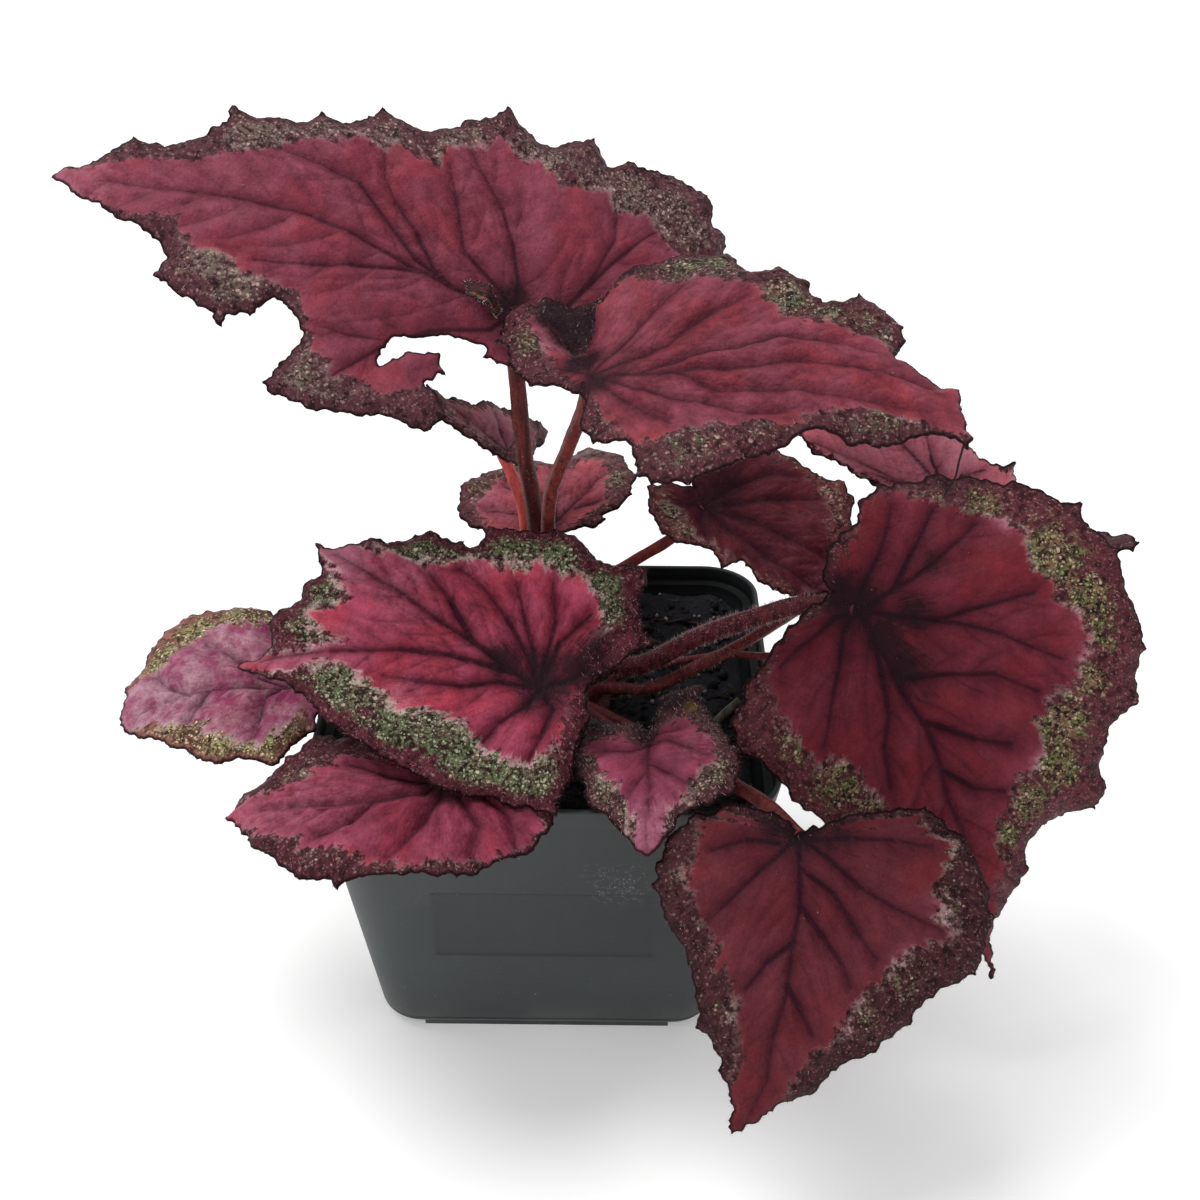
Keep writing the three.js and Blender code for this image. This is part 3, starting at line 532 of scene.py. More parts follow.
leaves["silver"] = {
    "junction": (318, 682, -15), "tip": (119, 719, -24), "side": (205, 615, 6), "arch": 0.06,
    "cup": -0.1,
    "outline": [
        (326, 684), (324, 706), (317, 730), (286, 755), (273, 767), (250, 761), (215, 767), (197, 761),
        (187, 752), (171, 752), (141, 738), (123, 730), (119, 719), (125, 689), (146, 666), (152, 650),
        (164, 633), (184, 622), (210, 613), (235, 608), (268, 611), (310, 634), (324, 660),
    ],
    "body": [
        (217, 633), (233, 628), (257, 633), (280, 622), (330, 640), (335, 720), (317, 740), (307, 717),
        (290, 733), (267, 747), (233, 747), (210, 740), (200, 723), (173, 727), (150, 728), (112, 730),
        (105, 700), (157, 677), (183, 653),
    ],
    "veins": [
        [(287, 690), (247, 690), (210, 693), (173, 703), (140, 717)],
        [(287, 688), (260, 680), (233, 660), (210, 650)],
        [(280, 692), (267, 700), (260, 723), (255, 740)],
        [(210, 693), (200, 710), (190, 725)],
        [(190, 698), (170, 690), (155, 680)],
        [(300, 680), (285, 655), (270, 635)],
    ],
    "green": [(250, 622, 34, 1.0), (200, 640, 26, 1.0), (168, 664, 24, 0.9), (226, 752, 56, 1.2),
              (178, 741, 34, 1.2), (285, 744, 34, 1.1), (146, 690, 16, 0.6)],
    "dark": [(318, 684, 18, 0.6)],
    "pale": [(165, 700, 56, 0.85), (230, 645, 40, 0.8), (290, 735, 30, 0.6), (230, 700, 80, 0.4)],
    "deep": (116, 48, 72), "rich": (150, 84, 110), "vein": 0.5, "quilt": 1.3, "ruffle": 0.8,
    "margin": (142, 92, 82), "speck": (172, 162, 124), "leafGreen": (120, 118, 80),
    "blush": (176, 92, 108), "pit": (62, 46, 36),
    "silver": (192, 150, 164), "halo": 0.35, "grit": 0.4, "mottle": 0.82, "veinTone": 0.9,
    "greenReach": 20, "rim": (0.3, 1.5),
}
leaves["lower_left"] = {
    "junction": (445, 782, -48), "tip": (225, 816, -50), "side": (430, 875, -70), "arch": 0.05,
    "cup": -0.06,
    "outline": [
        (466, 776), (515, 778), (552, 790), (560, 806), (555, 826), (532, 852), (501, 862), (471, 876),
        (430, 875), (393, 876), (345, 883), (337, 890), (327, 880), (299, 880), (279, 867), (253, 849),
        (224, 816), (243, 793), (266, 781), (289, 755), (317, 735), (370, 740), (430, 752),
    ],
    "body": [
        (212, 815), (247, 803), (287, 790), (313, 780), (333, 767), (360, 760), (390, 763), (433, 772),
        (483, 790), (533, 800), (550, 812), (543, 830), (530, 847), (507, 853), (493, 867), (467, 863),
        (433, 867), (400, 870), (383, 863), (353, 863), (333, 857), (307, 853), (280, 840), (260, 835),
        (240, 828), (215, 822),
    ],
    "veins": [
        [(424, 796), (375, 803), (320, 808), (260, 813)],
        [(440, 800), (425, 825), (400, 850), (385, 860)],
        [(420, 785), (380, 775), (350, 768)],
        [(460, 800), (480, 830), (470, 855)],
        [(480, 795), (510, 820), (515, 845)],
        [(375, 803), (350, 825), (320, 840)],
    ],
    "green": [(300, 775, 40, 0.35), (320, 868, 40, 0.35), (420, 873, 40, 0.3)],
    "dark": [(445, 782, 40, 0.6), (400, 790, 24, 0.4), (470, 800, 24, 0.4)],
    "pale": [(250, 815, 60, 0.35), (300, 810, 60, 0.2)],
    "deep": (98, 34, 48), "rich": (158, 70, 94), "vein": 0.5, "quilt": 1.3, "ruffle": 0.8,
    "margin": (76, 36, 45), "leafGreen": (70, 60, 52), "veinTone": 0.8, "bristle": 0.25, "grit": 0.3,
}
leaves["small_front"] = {
    "junction": (647, 742, -38), "tip": (647, 853, -66), "side": (741, 762, -48), "arch": 0.05,
    "cup": -0.05,
    "outline": [
        (647, 731), (655, 714), (660, 696), (685, 688), (705, 686), (709, 712), (723, 729), (741, 750),
        (742, 770), (734, 790), (711, 803), (685, 813), (667, 829), (657, 844), (647, 853), (634, 849),
        (626, 839), (609, 821), (588, 803), (578, 778), (573, 762), (580, 742), (588, 716), (610, 722),
        (640, 722),
    ],
    "body": [
        (583, 743), (603, 740), (627, 737), (647, 750), (660, 727), (680, 720), (700, 727), (713, 740),
        (718, 767), (703, 773), (690, 787), (687, 807), (670, 807), (663, 827), (657, 846), (656, 862),
        (634, 860), (632, 840), (637, 820), (627, 807), (620, 790), (603, 783), (597, 763), (587, 753),
    ],
    "veins": [
        [(648, 757), (650, 790), (646, 820), (646, 848)],
        [(665, 740), (690, 748), (710, 757)],
        [(630, 752), (605, 752)],
        [(649, 765), (670, 775), (690, 785)],
        [(649, 772), (635, 785), (628, 795)],
        [(655, 735), (680, 730)],
    ],
    "green": [(600, 790, 30, 0.7), (625, 820, 24, 0.7), (720, 780, 26, 0.8), (690, 810, 24, 0.8),
              (585, 765, 20, 0.6)],
    "dark": [(647, 735, 18, 0.8), (650, 722, 20, 0.8), (674, 704, 24, 0.9), (702, 698, 18, 0.7),
             (600, 724, 24, 0.7)],
    "pale": [(648, 830, 28, 0.6), (700, 745, 24, 0.3)], "gold": [(691, 709, 7, 0.8),
                                                                 (683, 715, 4, 0.6)],
    "dents": [(690, 695, 26, 2.5), (600, 722, 24, 1.5), (647, 745, 24, -1.5)],
    "deep": (106, 42, 60), "rich": (152, 74, 102), "vein": 0.45, "quilt": 0.8, "ruffle": 0.7,
    "margin": (80, 48, 51), "leafGreen": (76, 76, 58), "fringe": 0.6, "bristle": 0.9, "veinTone": 0.6,
    "umber": (88, 72, 64), "speck": (138, 130, 110), "grain": (146, 118, 114), "grit": 0.32,
    "pit": (46, 34, 31),
}
leaves["shaded"] = {
    "junction": (705, 498, 14), "tip": (835, 592, -4), "side": (845, 482, 18), "arch": 0.06, "cup": 0.12,
    "outline": [
        (694, 488), (672, 462), (715, 438), (760, 440), (794, 457), (817, 473), (845, 480), (855, 503),
        (852, 529), (848, 560), (835, 592), (801, 597), (791, 597), (773, 590), (758, 582), (743, 559),
        (722, 569), (710, 549), (676, 544), (661, 534), (648, 511), (646, 485), (668, 482),
    ],
    "body": [
        (662, 478), (680, 510), (700, 535), (720, 550), (740, 560), (760, 575), (780, 583), (800, 590),
        (840, 600), (834, 570), (826, 540), (828, 515), (818, 490), (790, 462), (740, 450), (690, 465),
    ],
    "veins": [
        [(730, 530), (770, 560), (810, 585), (832, 592)],
        [(740, 505), (790, 500), (825, 500)],
        [(700, 520), (705, 535)],
        [(690, 505), (668, 500)],
        [(745, 520), (790, 540), (826, 560)],
        [(730, 490), (770, 475), (800, 478)],
    ],
    "green": [(665, 515, 26, 0.8), (700, 545, 34, 0.9), (745, 570, 26, 0.6), (840, 490, 24, 0.6),
              (845, 515, 18, 0.5)],
    # this leaf lies in the shade of the one above: its dark patches and its darker colours below are painted
    # shade
    "dark": [(712, 490, 42, 0.62), (740, 520, 30, 0.36), (772, 505, 42, 0.34)],
    "pale": [(820, 590, 20, 0.3)],
    "dents": [(712, 495, 40, -4.0)],
    "deep": (64, 23, 31), "rich": (108, 50, 58), "vein": 0.5, "quilt": 0.9, "ruffle": 0.8,
    "margin": (106, 58, 60), "leafGreen": (104, 96, 74), "fringe": 0.35, "bristle": 0.4, "grit": 0.34,
    "umber": (112, 84, 76), "pit": (46, 32, 30),
}
leaves["pale"] = {
    "junction": (950, 502, 26), "tip": (799, 437, 18), "side": (1016, 470, 32), "arch": 0.05,
    "cup": -0.08,
    "outline": [
        (948, 514), (912, 506), (878, 488), (858, 478), (842, 466), (814, 456), (799, 437), (806, 424),
        (840, 412), (900, 408), (950, 425), (972, 448), (990, 462), (1015, 461), (1018, 481), (1004, 505),
        (975, 515),
    ],
    "body": [
        (785, 435), (800, 420), (840, 405), (900, 400), (950, 415), (980, 448), (1000, 468), (1030, 470),
        (1010, 500), (975, 520), (912, 512), (880, 480), (858, 470), (842, 458), (818, 448),
    ],
    "veins": [
        [(900, 482), (860, 462), (815, 443)],
        [(930, 475), (900, 442), (870, 425)],
        [(960, 475), (985, 470)],
        [(940, 485), (930, 455), (925, 430)],
        [(920, 492), (890, 480), (865, 472)],
    ],
    "green": [], "dark": [], "pale": [(900, 450, 160, 0.35)],
    "deep": (150, 76, 88), "rich": (216, 132, 146), "vein": 0.5, "quilt": 1.1, "ruffle": 0.8,
}
leaves["back"] = {
    "junction": (556, 522, 24), "tip": (572, 454, 56), "side": (458, 495, 38), "arch": 0.08, "cup": 0.1,
    "outline": [
        (557, 531), (530, 538), (484, 531), (471, 526), (460, 517), (457, 507), (460, 485), (470, 480),
        (489, 469), (503, 467), (528, 458), (554, 463), (585, 448), (602, 450), (623, 455), (637, 475),
        (632, 493), (618, 507), (602, 512), (607, 517), (597, 525), (575, 530),
    ],
    "body": [
        (480, 520), (478, 505), (490, 490), (507, 480), (530, 474), (558, 470), (573, 473), (587, 463),
        (603, 463), (609, 480), (603, 500), (587, 517), (570, 528), (557, 540), (500, 540),
    ],
    "veins": [
        [(520, 516), (485, 510)],
        [(540, 500), (505, 488)],
        [(580, 500), (600, 480), (612, 470)],
        [(575, 510), (600, 500)],
        [(556, 490), (556, 472)],
    ],
    "green": [(470, 490, 24, 0.5), (510, 475, 24, 0.5), (618, 480, 24, 0.7), (600, 455, 20, 0.6)],
    "dark": [(556, 522, 16, 0.6)], "pale": [(490, 505, 30, 0.3)],
    "deep": (120, 50, 62), "rich": (184, 108, 122), "vein": 0.45, "quilt": 0.7, "ruffle": 0.7,
    "margin": (96, 58, 62), "leafGreen": (86, 88, 64), "grit": 0.3,
}
leaves["folded"] = {
    "junction": (508, 452, 13), "tip": (430, 383, 10), "side": (489, 399, 21), "arch": 0.04, "cup": 0.05,
    "outline": [
        (505, 459), (519, 466), (532, 463), (546, 442), (549, 431), (542, 421), (532, 416), (508, 406),
        (489, 399), (470, 401), (446, 393), (430, 381), (427, 404), (451, 422), (471, 436), (487, 448),
    ],
    "body": [
        (505, 448), (520, 458), (536, 440), (530, 425), (508, 414), (489, 407), (470, 409), (452, 403),
        (445, 402), (460, 418), (480, 432),
    ],
    "veins": [
        [(490, 436), (460, 414), (438, 394)],
        [(515, 440), (530, 432)],
        [(500, 430), (495, 412)],
    ],
    "green": [(520, 425, 40, 0.3), (450, 415, 30, 0.4), (480, 440, 24, 0.4)],
    "dark": [], "pale": [(500, 425, 60, 0.5)],
    "deep": (126, 70, 80), "rich": (188, 128, 134), "vein": 0.35, "quilt": 0.5, "ruffle": 0.5,
    "margin": (104, 66, 68), "leafGreen": (92, 84, 68), "grit": 0.35,
}
leaves["hidden"] = {
    "junction": (1040, 600, 14), "tip": (1135, 542, 12), "side": (1045, 540, 26), "arch": 0.05,
    "cup": -0.05,
    "outline": [
        (1034, 607), (1062, 620), (1098, 598), (1118, 563), (1117, 549), (1134, 552), (1137, 539),
        (1125, 531), (1100, 531), (1070, 526), (1040, 540), (1018, 576),
    ],
    "body": [(1034, 600), (1060, 608), (1085, 590), (1100, 560), (1090, 545), (1070, 538), (1045, 550),
             (1028, 578)],
    "veins": [[(1070, 585), (1100, 560), (1125, 542)], [(1055, 580), (1060, 550)],
              [(1060, 600), (1080, 590)]],
    "green": [(1110, 545, 20, 0.2)], "dark": [(1120, 545, 30, 0.5)], "pale": [],
    "deep": (110, 62, 68), "rich": (148, 94, 100), "vein": 0.45, "quilt": 0.6, "ruffle": 1.2,
    "margin": (100, 68, 74), "grit": 0.35,
}
usual = {
    "dents": (), "gold": (), "hollow": (), "pleats": None, "mottle": 0, "bristle": 0, "veinTone": 1.0,
    "sideVein": 0.33, "halo": 0.5, "fringe": 0.5, "flames": 7.0, "grit": 0.16, "greenReach": 8,
    "rim": (1.0, 3.2),   # mm from the edge where the green starts and where it is full
    "silver": (178, 112, 132), "shadow": (50, 18, 34), "margin": (78, 40, 48), "speck": (140, 142, 116),
    "leafGreen": (66, 74, 50), "umber": (98, 72, 58), "pit": (30, 23, 20), "grain": (150, 104, 104),
    "blush": (128, 62, 76),
}
bladeSize = {   # mm, or shares of the blade's length
    "cell": 0.48, "thickness": 0.42, "castPasses": 16,
    "toothStep": 0.7, "teeth": ((1.0, 0.8, 0), (0.7, 0.35, 9)), "toothHeight": 0.8, "hollowing": 0.05,
    "quiltReach": 2.4, "quiltHeight": 2.7, "swells": ((0.5, 3.0, 0), (1.0, 7.5, 11)),   # height, wave, seed
    "ruffles": ((1.9, 8.0, 3), (0.6, 8.0 / 3, 5)), "ruffleReach": 4.5, "droop": 1.1, "droopReach": 2.2,
    "haloReach": 1.8, "rayRing": 45, "rayStretch": 0.14,
}
veinSize = {   # mm, shares of a vein, and turns in radians
    "joinGap": 1.5, "joinReach": 0.45, "taper": (0.55, 0.5), "sideGap": 0.095, "sideReach": 0.42,
    "sideTurn": (0.65, 0.9), "sidePieces": 6, "sideWidth": 0.5, "sideCurl": 0.13, "sideStop": 1.3,
}
hairSize = {   # steps and lengths in mm
    "radius": 0.045, "step": 0.5, "sunk": 0.15, "sway": 0.7, "rise": (-0.5, 0.6), "length": (0.3, 0.9),
    "tuftPerLength": 1.6, "tuftSpread": 0.09, "tuftLean": 0.6, "tuftLength": (0.4, 1.0), "tuftRadius": 0.05,
    "bristleLean": 0.8, "bristleLength": (0.4, 1.3),
    "stalkLean": (-0.4, 0.6), "stalkLength": (0.35, 1.25), "crownLength": (0.8, 2.2), "crownRadius": 0.07,
}


class Leaf:
    def __init__(self, name, given):
        self.name, self.given = name, given
        self.seed = 7.3 * len(name) + ord(name[0])
        self.foot = seenAt(given["junction"])
        along = seenAt(given["tip"]) - self.foot
        self.length = np.linalg.norm(along)
        self.along = along / self.length
        facing = np.cross(self.along, seenAt(given["side"]) - self.foot)
        facing /= np.linalg.norm(facing)
        self.facing = facing if facing @ (eye - self.foot) > 0 else -facing
        self.across = np.cross(self.facing, self.along)
        self.pixelSize = np.linalg.norm(eye - self.foot) / photo["focal"]
        self.dents = []   # while their own places are found
        self.dents = [(self.castBack([dent])[0], dent[2] * self.pixelSize, dent[3])
                      for dent in given["dents"]]
        corners = self.castBack(given["outline"])
        turns = corners[:, 0] * np.roll(corners[:, 1], -1) - corners[:, 1] * np.roll(corners[:, 0], -1)
        self.corners = corners if turns.sum() > 0 else corners[::-1]
        self.fine = self.serrated()

    def bend(self, places):   # how far the blade stands off its plane
        u, v = places[:, 0] / self.length, places[:, 1] / self.length
        off = self.length * (4 * self.given["arch"] * u * (1 - u) + self.given["cup"] * v * v)
        for centre, radius, height in self.dents:
            off = off + height * np.exp(-((places - centre) ** 2).sum(1) / radius ** 2)
        return off

    def castBack(self, pixels):   # places on the blade that are seen at these pixels
        lines = sightLines([pixel[:2] for pixel in pixels])
        offset = self.foot - eye
        places = np.zeros((len(lines), 2))
        for _ in range(bladeSize["castPasses"]):
            reach = (offset @ self.facing + self.bend(places)) / (lines @ self.facing)
            hit = lines * reach[:, None] - offset
            places = (places + np.stack([hit @ self.along, hit @ self.across], 1)) / 2
        return places

    def raised(self, places, lift):   # points in mm
        height = (self.bend(places) + lift)[:, None]
        return self.foot + places[:, :1] * self.along + places[:, 1:] * self.across + height * self.facing

    def facingAtFoot(self):
        step = 0.5
        here, ahead, aside = self.bend(np.array([(0.0, 0.0), (step, 0.0), (0.0, step)]))
        slope = self.facing - (ahead - here) / step * self.along - (aside - here) / step * self.across
        return slope / np.linalg.norm(slope)

    def patches(self, places, which):   # strength of the green, dark or pale patches at each place
        total = np.zeros(len(places))
        listed = self.given[which]
        for centre, (_, _, radius, strength) in zip(self.castBack(listed) if listed else [], listed):
            away = ((places - centre) ** 2).sum(1) / (radius * self.pixelSize) ** 2
            total = np.maximum(total, strength * np.exp(-away))
        return total

    def veinTree(self):   # rows of ax, ay, bx, by, width, strength: main veins, then side veins off them
        width = self.given["vein"]
        rows, owners, sprouts = [(0, 0, 0.1, 0, width, 1.0)], [0], []
        dice = random.Random(self.seed)
        spacing = veinSize["sideGap"] * self.length
        thinner, fainter = veinSize["taper"]
        for number, line in enumerate(self.given["veins"], 1):
            points = self.castBack(line)
            drawn = np.array(rows)
            nearest = min(gaps.min() for _, gaps, _ in segmentGaps(points[:1], drawn[:, :2], drawn[:, 2:4]))
            closeBy = np.linalg.norm(points[0]) < veinSize["joinReach"] * self.length
            if nearest > veinSize["joinGap"] and closeBy:
                points = np.vstack([(0, 0), points])
            steps = np.linalg.norm(np.diff(points, axis=0), axis=1)
            total, gone = steps.sum(), 0.0
            sprout, flip = spacing * dice.uniform(0.5, 1), dice.choice((1, -1))
            for a, b, step in zip(points[:-1], points[1:], steps):
                share = gone / total
                rows.append((*a, *b, width * (1 - thinner * share), 1 - fainter * share))
                owners.append(number)
                while sprout < gone + step:
                    base = a + (b - a) * (sprout - gone) / step
                    reach = total * veinSize["sideReach"] * (1 - 0.6 * sprout / total)
                    reach *= dice.uniform(0.75, 1.2)
                    sprouts.append((base, b - a, flip * dice.uniform(*veinSize["sideTurn"]), reach, number))
                    flip = -flip
                    sprout += spacing * dice.uniform(0.4, 0.65)
                gone += step
        main, owners = np.array(rows), np.array(owners)
        for base, way, turn, reach, number in sprouts:
            rows += self.sideVein(base, way, turn, reach, main[owners != number])
        return np.array(rows)

    def sideVein(self, base, way, turn, reach, others):   # curves back along its vein, and ends at another
        made, pieces = [], veinSize["sidePieces"]
        heading = math.atan2(way[1], way[0]) + turn
        for k in range(pieces):
            tip = base + reach / pieces * np.array([math.cos(heading), math.sin(heading)])
            made.append((*base, *tip, self.given["vein"] * (veinSize["sideWidth"] - 0.03 * k),
                         self.given["sideVein"] * (1 - 0.11 * k)))
            _, gaps, _ = next(segmentGaps(tip[None], others[:, :2], others[:, 2:4]))
            if gaps.min() < veinSize["sideStop"]:
                break
            base, heading = tip, heading - turn * veinSize["sideCurl"]
        return made

    def serrated(self):   # the outline with fine teeth and hollows between its corners
        fine = []
        for a, b in zip(self.corners, np.roll(self.corners, -1, axis=0)):
            step = np.linalg.norm(b - a)
            pieces = max(1, int(step / bladeSize["toothStep"]))
            out = np.array([(b - a)[1], -(b - a)[0]]) / max(step, 1e-6)
            for k in range(pieces):
                share = k / pieces
                x, y = here = a + (b - a) * share
                sag = -bladeSize["hollowing"] * step * 4 * share * (1 - share)
                tooth = sum(height * noise.noise(Vector((x * wave, y * wave, self.seed + seed)))
                            for height, wave, seed in bladeSize["teeth"])
                fine.append(here + out * (sag + (tooth * bladeSize["toothHeight"] if k else 0.0)))
        return np.array(fine)

    def blade(self):   # relief in mm off the smooth blade, and the numbers that its finish reads
        given = self.given
        mesh = meshFrom(self.name, cutSheet(self.fine, bladeSize["cell"]))
        places = np.array([v.co[:2] for v in mesh.vertices])
        edge, _ = loopGap(places, self.fine)
        body = self.castBack(given["body"])
        bodyEdge, _ = loopGap(places, body)
        bodyEdge = np.where(insideLoop(places, body), bodyEdge, -bodyEdge)
        core, power, halo, valley = (np.zeros(len(places)) for _ in range(4))
        tree = self.veinTree()
        width, strength = tree[:, 4], tree[:, 5]
        for rows, gaps, _ in segmentGaps(places, tree[:, :2], tree[:, 2:4]):
            scaled = gaps / np.maximum(width, 0.3)
            core[rows] = scaled.min(1)
            power[rows] = strength[scaled.argmin(1)]
            halo[rows] = (strength * np.exp(-gaps / bladeSize["haloReach"])).max(1)
            valley[rows] = (strength ** 0.4 * np.exp(-gaps / bladeSize["quiltReach"])).max(1)
        fromFoot = np.linalg.norm(places, axis=1)
        close = np.exp(-edge / bladeSize["ruffleReach"])
        lift = given["quilt"] * bladeSize["quiltHeight"] * (1 - valley) * (1 - 0.6 * close)
        for height, wave, seed in bladeSize["swells"]:
            lift += height * wander(places, wave, self.seed + seed) * (1 - close)
        for height, wave, seed in bladeSize["ruffles"]:
            lift += given["ruffle"] * height * wander(places, wave, self.seed + seed) * close
        lift -= bladeSize["droop"] * np.exp(-edge / bladeSize["droopReach"])
        if given["pleats"]:
            count, height = given["pleats"]
            angle = np.arctan2(places[:, 1], places[:, 0])
            lift += height * np.sin(angle * count) * np.clip(fromFoot / self.length * 2, 0, 1) * (1 - close)
        lift *= np.clip(fromFoot / self.length * 6, 0.1, 1)   # calm at the stalk
        self.places, self.lift = places, lift
        mesh.vertices.foreach_set("co", (self.raised(places, lift) * mm).ravel())
        numbers = {"body": bodyEdge, "edge": edge, "veinCore": np.minimum(core, 6), "veinPower": power,
                   "veinHalo": halo, "valley": valley, "fromFoot": fromFoot / self.length}
        for which in ("green", "dark", "pale", "gold", "hollow"):
            numbers[which] = self.patches(places, which)
        for label, values in numbers.items():
            mesh.attributes.new(label, "FLOAT", "POINT").data.foreach_set("value", values.astype(np.float32))
        ring = places / np.maximum(fromFoot, 0.01)[:, None] * bladeSize["rayRing"]
        rays = (np.column_stack([ring, fromFoot * bladeSize["rayStretch"]]) * mm).astype(np.float32)
        mesh.attributes.new("rays", "FLOAT_VECTOR", "POINT").data.foreach_set("vector", rays.ravel())
        mesh.update()
        return mesh

    def onBlade(self, place):   # the point of the finished blade over a place
        nearest = ((self.places - place) ** 2).sum(1).argmin()
        return self.raised(np.array([place]), self.lift[nearest])[0]

    def standing(self, spot, lean, length, radius):   # a hair that stands on the blade, a little askew
        tilt = [dice.uniform(-lean, lean) for _ in range(2)]
        way = self.facing + tilt[0] * self.along + tilt[1] * self.across
        return self.onBlade(spot), way, dice.uniform(*length), radius

    def hairs(self):   # a fringe round the margin, and a tuft on the veins at the stalk
        made = []
        for a, b in zip(self.fine, np.roll(self.fine, -1, axis=0)):
            way = b - a
            step = np.linalg.norm(way)
            out = np.array([way[1], -way[0]]) / max(step, 1e-6)
            for _ in range(int(step / hairSize["step"] + dice.random())):
                root = a + way * dice.random() - out * hairSize["sunk"]
                lean = out + way / step * dice.uniform(-hairSize["sway"], hairSize["sway"])
                rise = self.facing * dice.uniform(*hairSize["rise"])
                made.append((self.onBlade(root), lean[0] * self.along + lean[1] * self.across + rise,
                             dice.uniform(*hairSize["length"]), hairSize["radius"]))
        for _ in range(int(self.length * hairSize["tuftPerLength"])):
            angle = dice.uniform(0, 2 * math.pi)
            reach = abs(dice.gauss(0, hairSize["tuftSpread"] * self.length))
            root = np.array([math.cos(angle), math.sin(angle)]) * reach
            if insideLoop(root[None], self.fine)[0]:
                made.append(self.standing(root, hairSize["tuftLean"], hairSize["tuftLength"],
                                          hairSize["tuftRadius"]))
        return made

    def bristles(self):   # pale ones, standing on the outer band and along the margin
        low, high = self.fine.min(0), self.fine.max(0)
        body = self.castBack(self.given["body"])
        count = int((high - low).prod() * self.given["bristle"])
        spots = [[dice.uniform(low[k], high[k]) for k in range(2)] for _ in range(count)]
        spots = np.array(spots).reshape(-1, 2)
        spots = spots[insideLoop(spots, self.fine) & ~insideLoop(spots, body)] if count else spots
        return [self.standing(spot, hairSize["bristleLean"], hairSize["bristleLength"], hairSize["radius"])
                for spot in spots]


def shade(tone, share):   # a screen colour made darker or lighter
    return tuple(min(255, c * share) for c in tone)


bladeTones = {
    "mottle": (138, 48, 88), "hollow": (30, 18, 24), "pore": (18, 9, 11), "glint": (190, 150, 142),
    "gold": (132, 112, 34), "seam": ((198, 152, 158), (176, 164, 150)), "blotAndShade": (31, 18, 25),
    "dust": (200, 158, 158), "rim": (24, 9, 15),
}
undersideTones = {"skin": ((84, 30, 38), (116, 48, 54)), "net": (146, 76, 78), "vein": (158, 84, 78),
                  "rim": (74, 42, 38)}


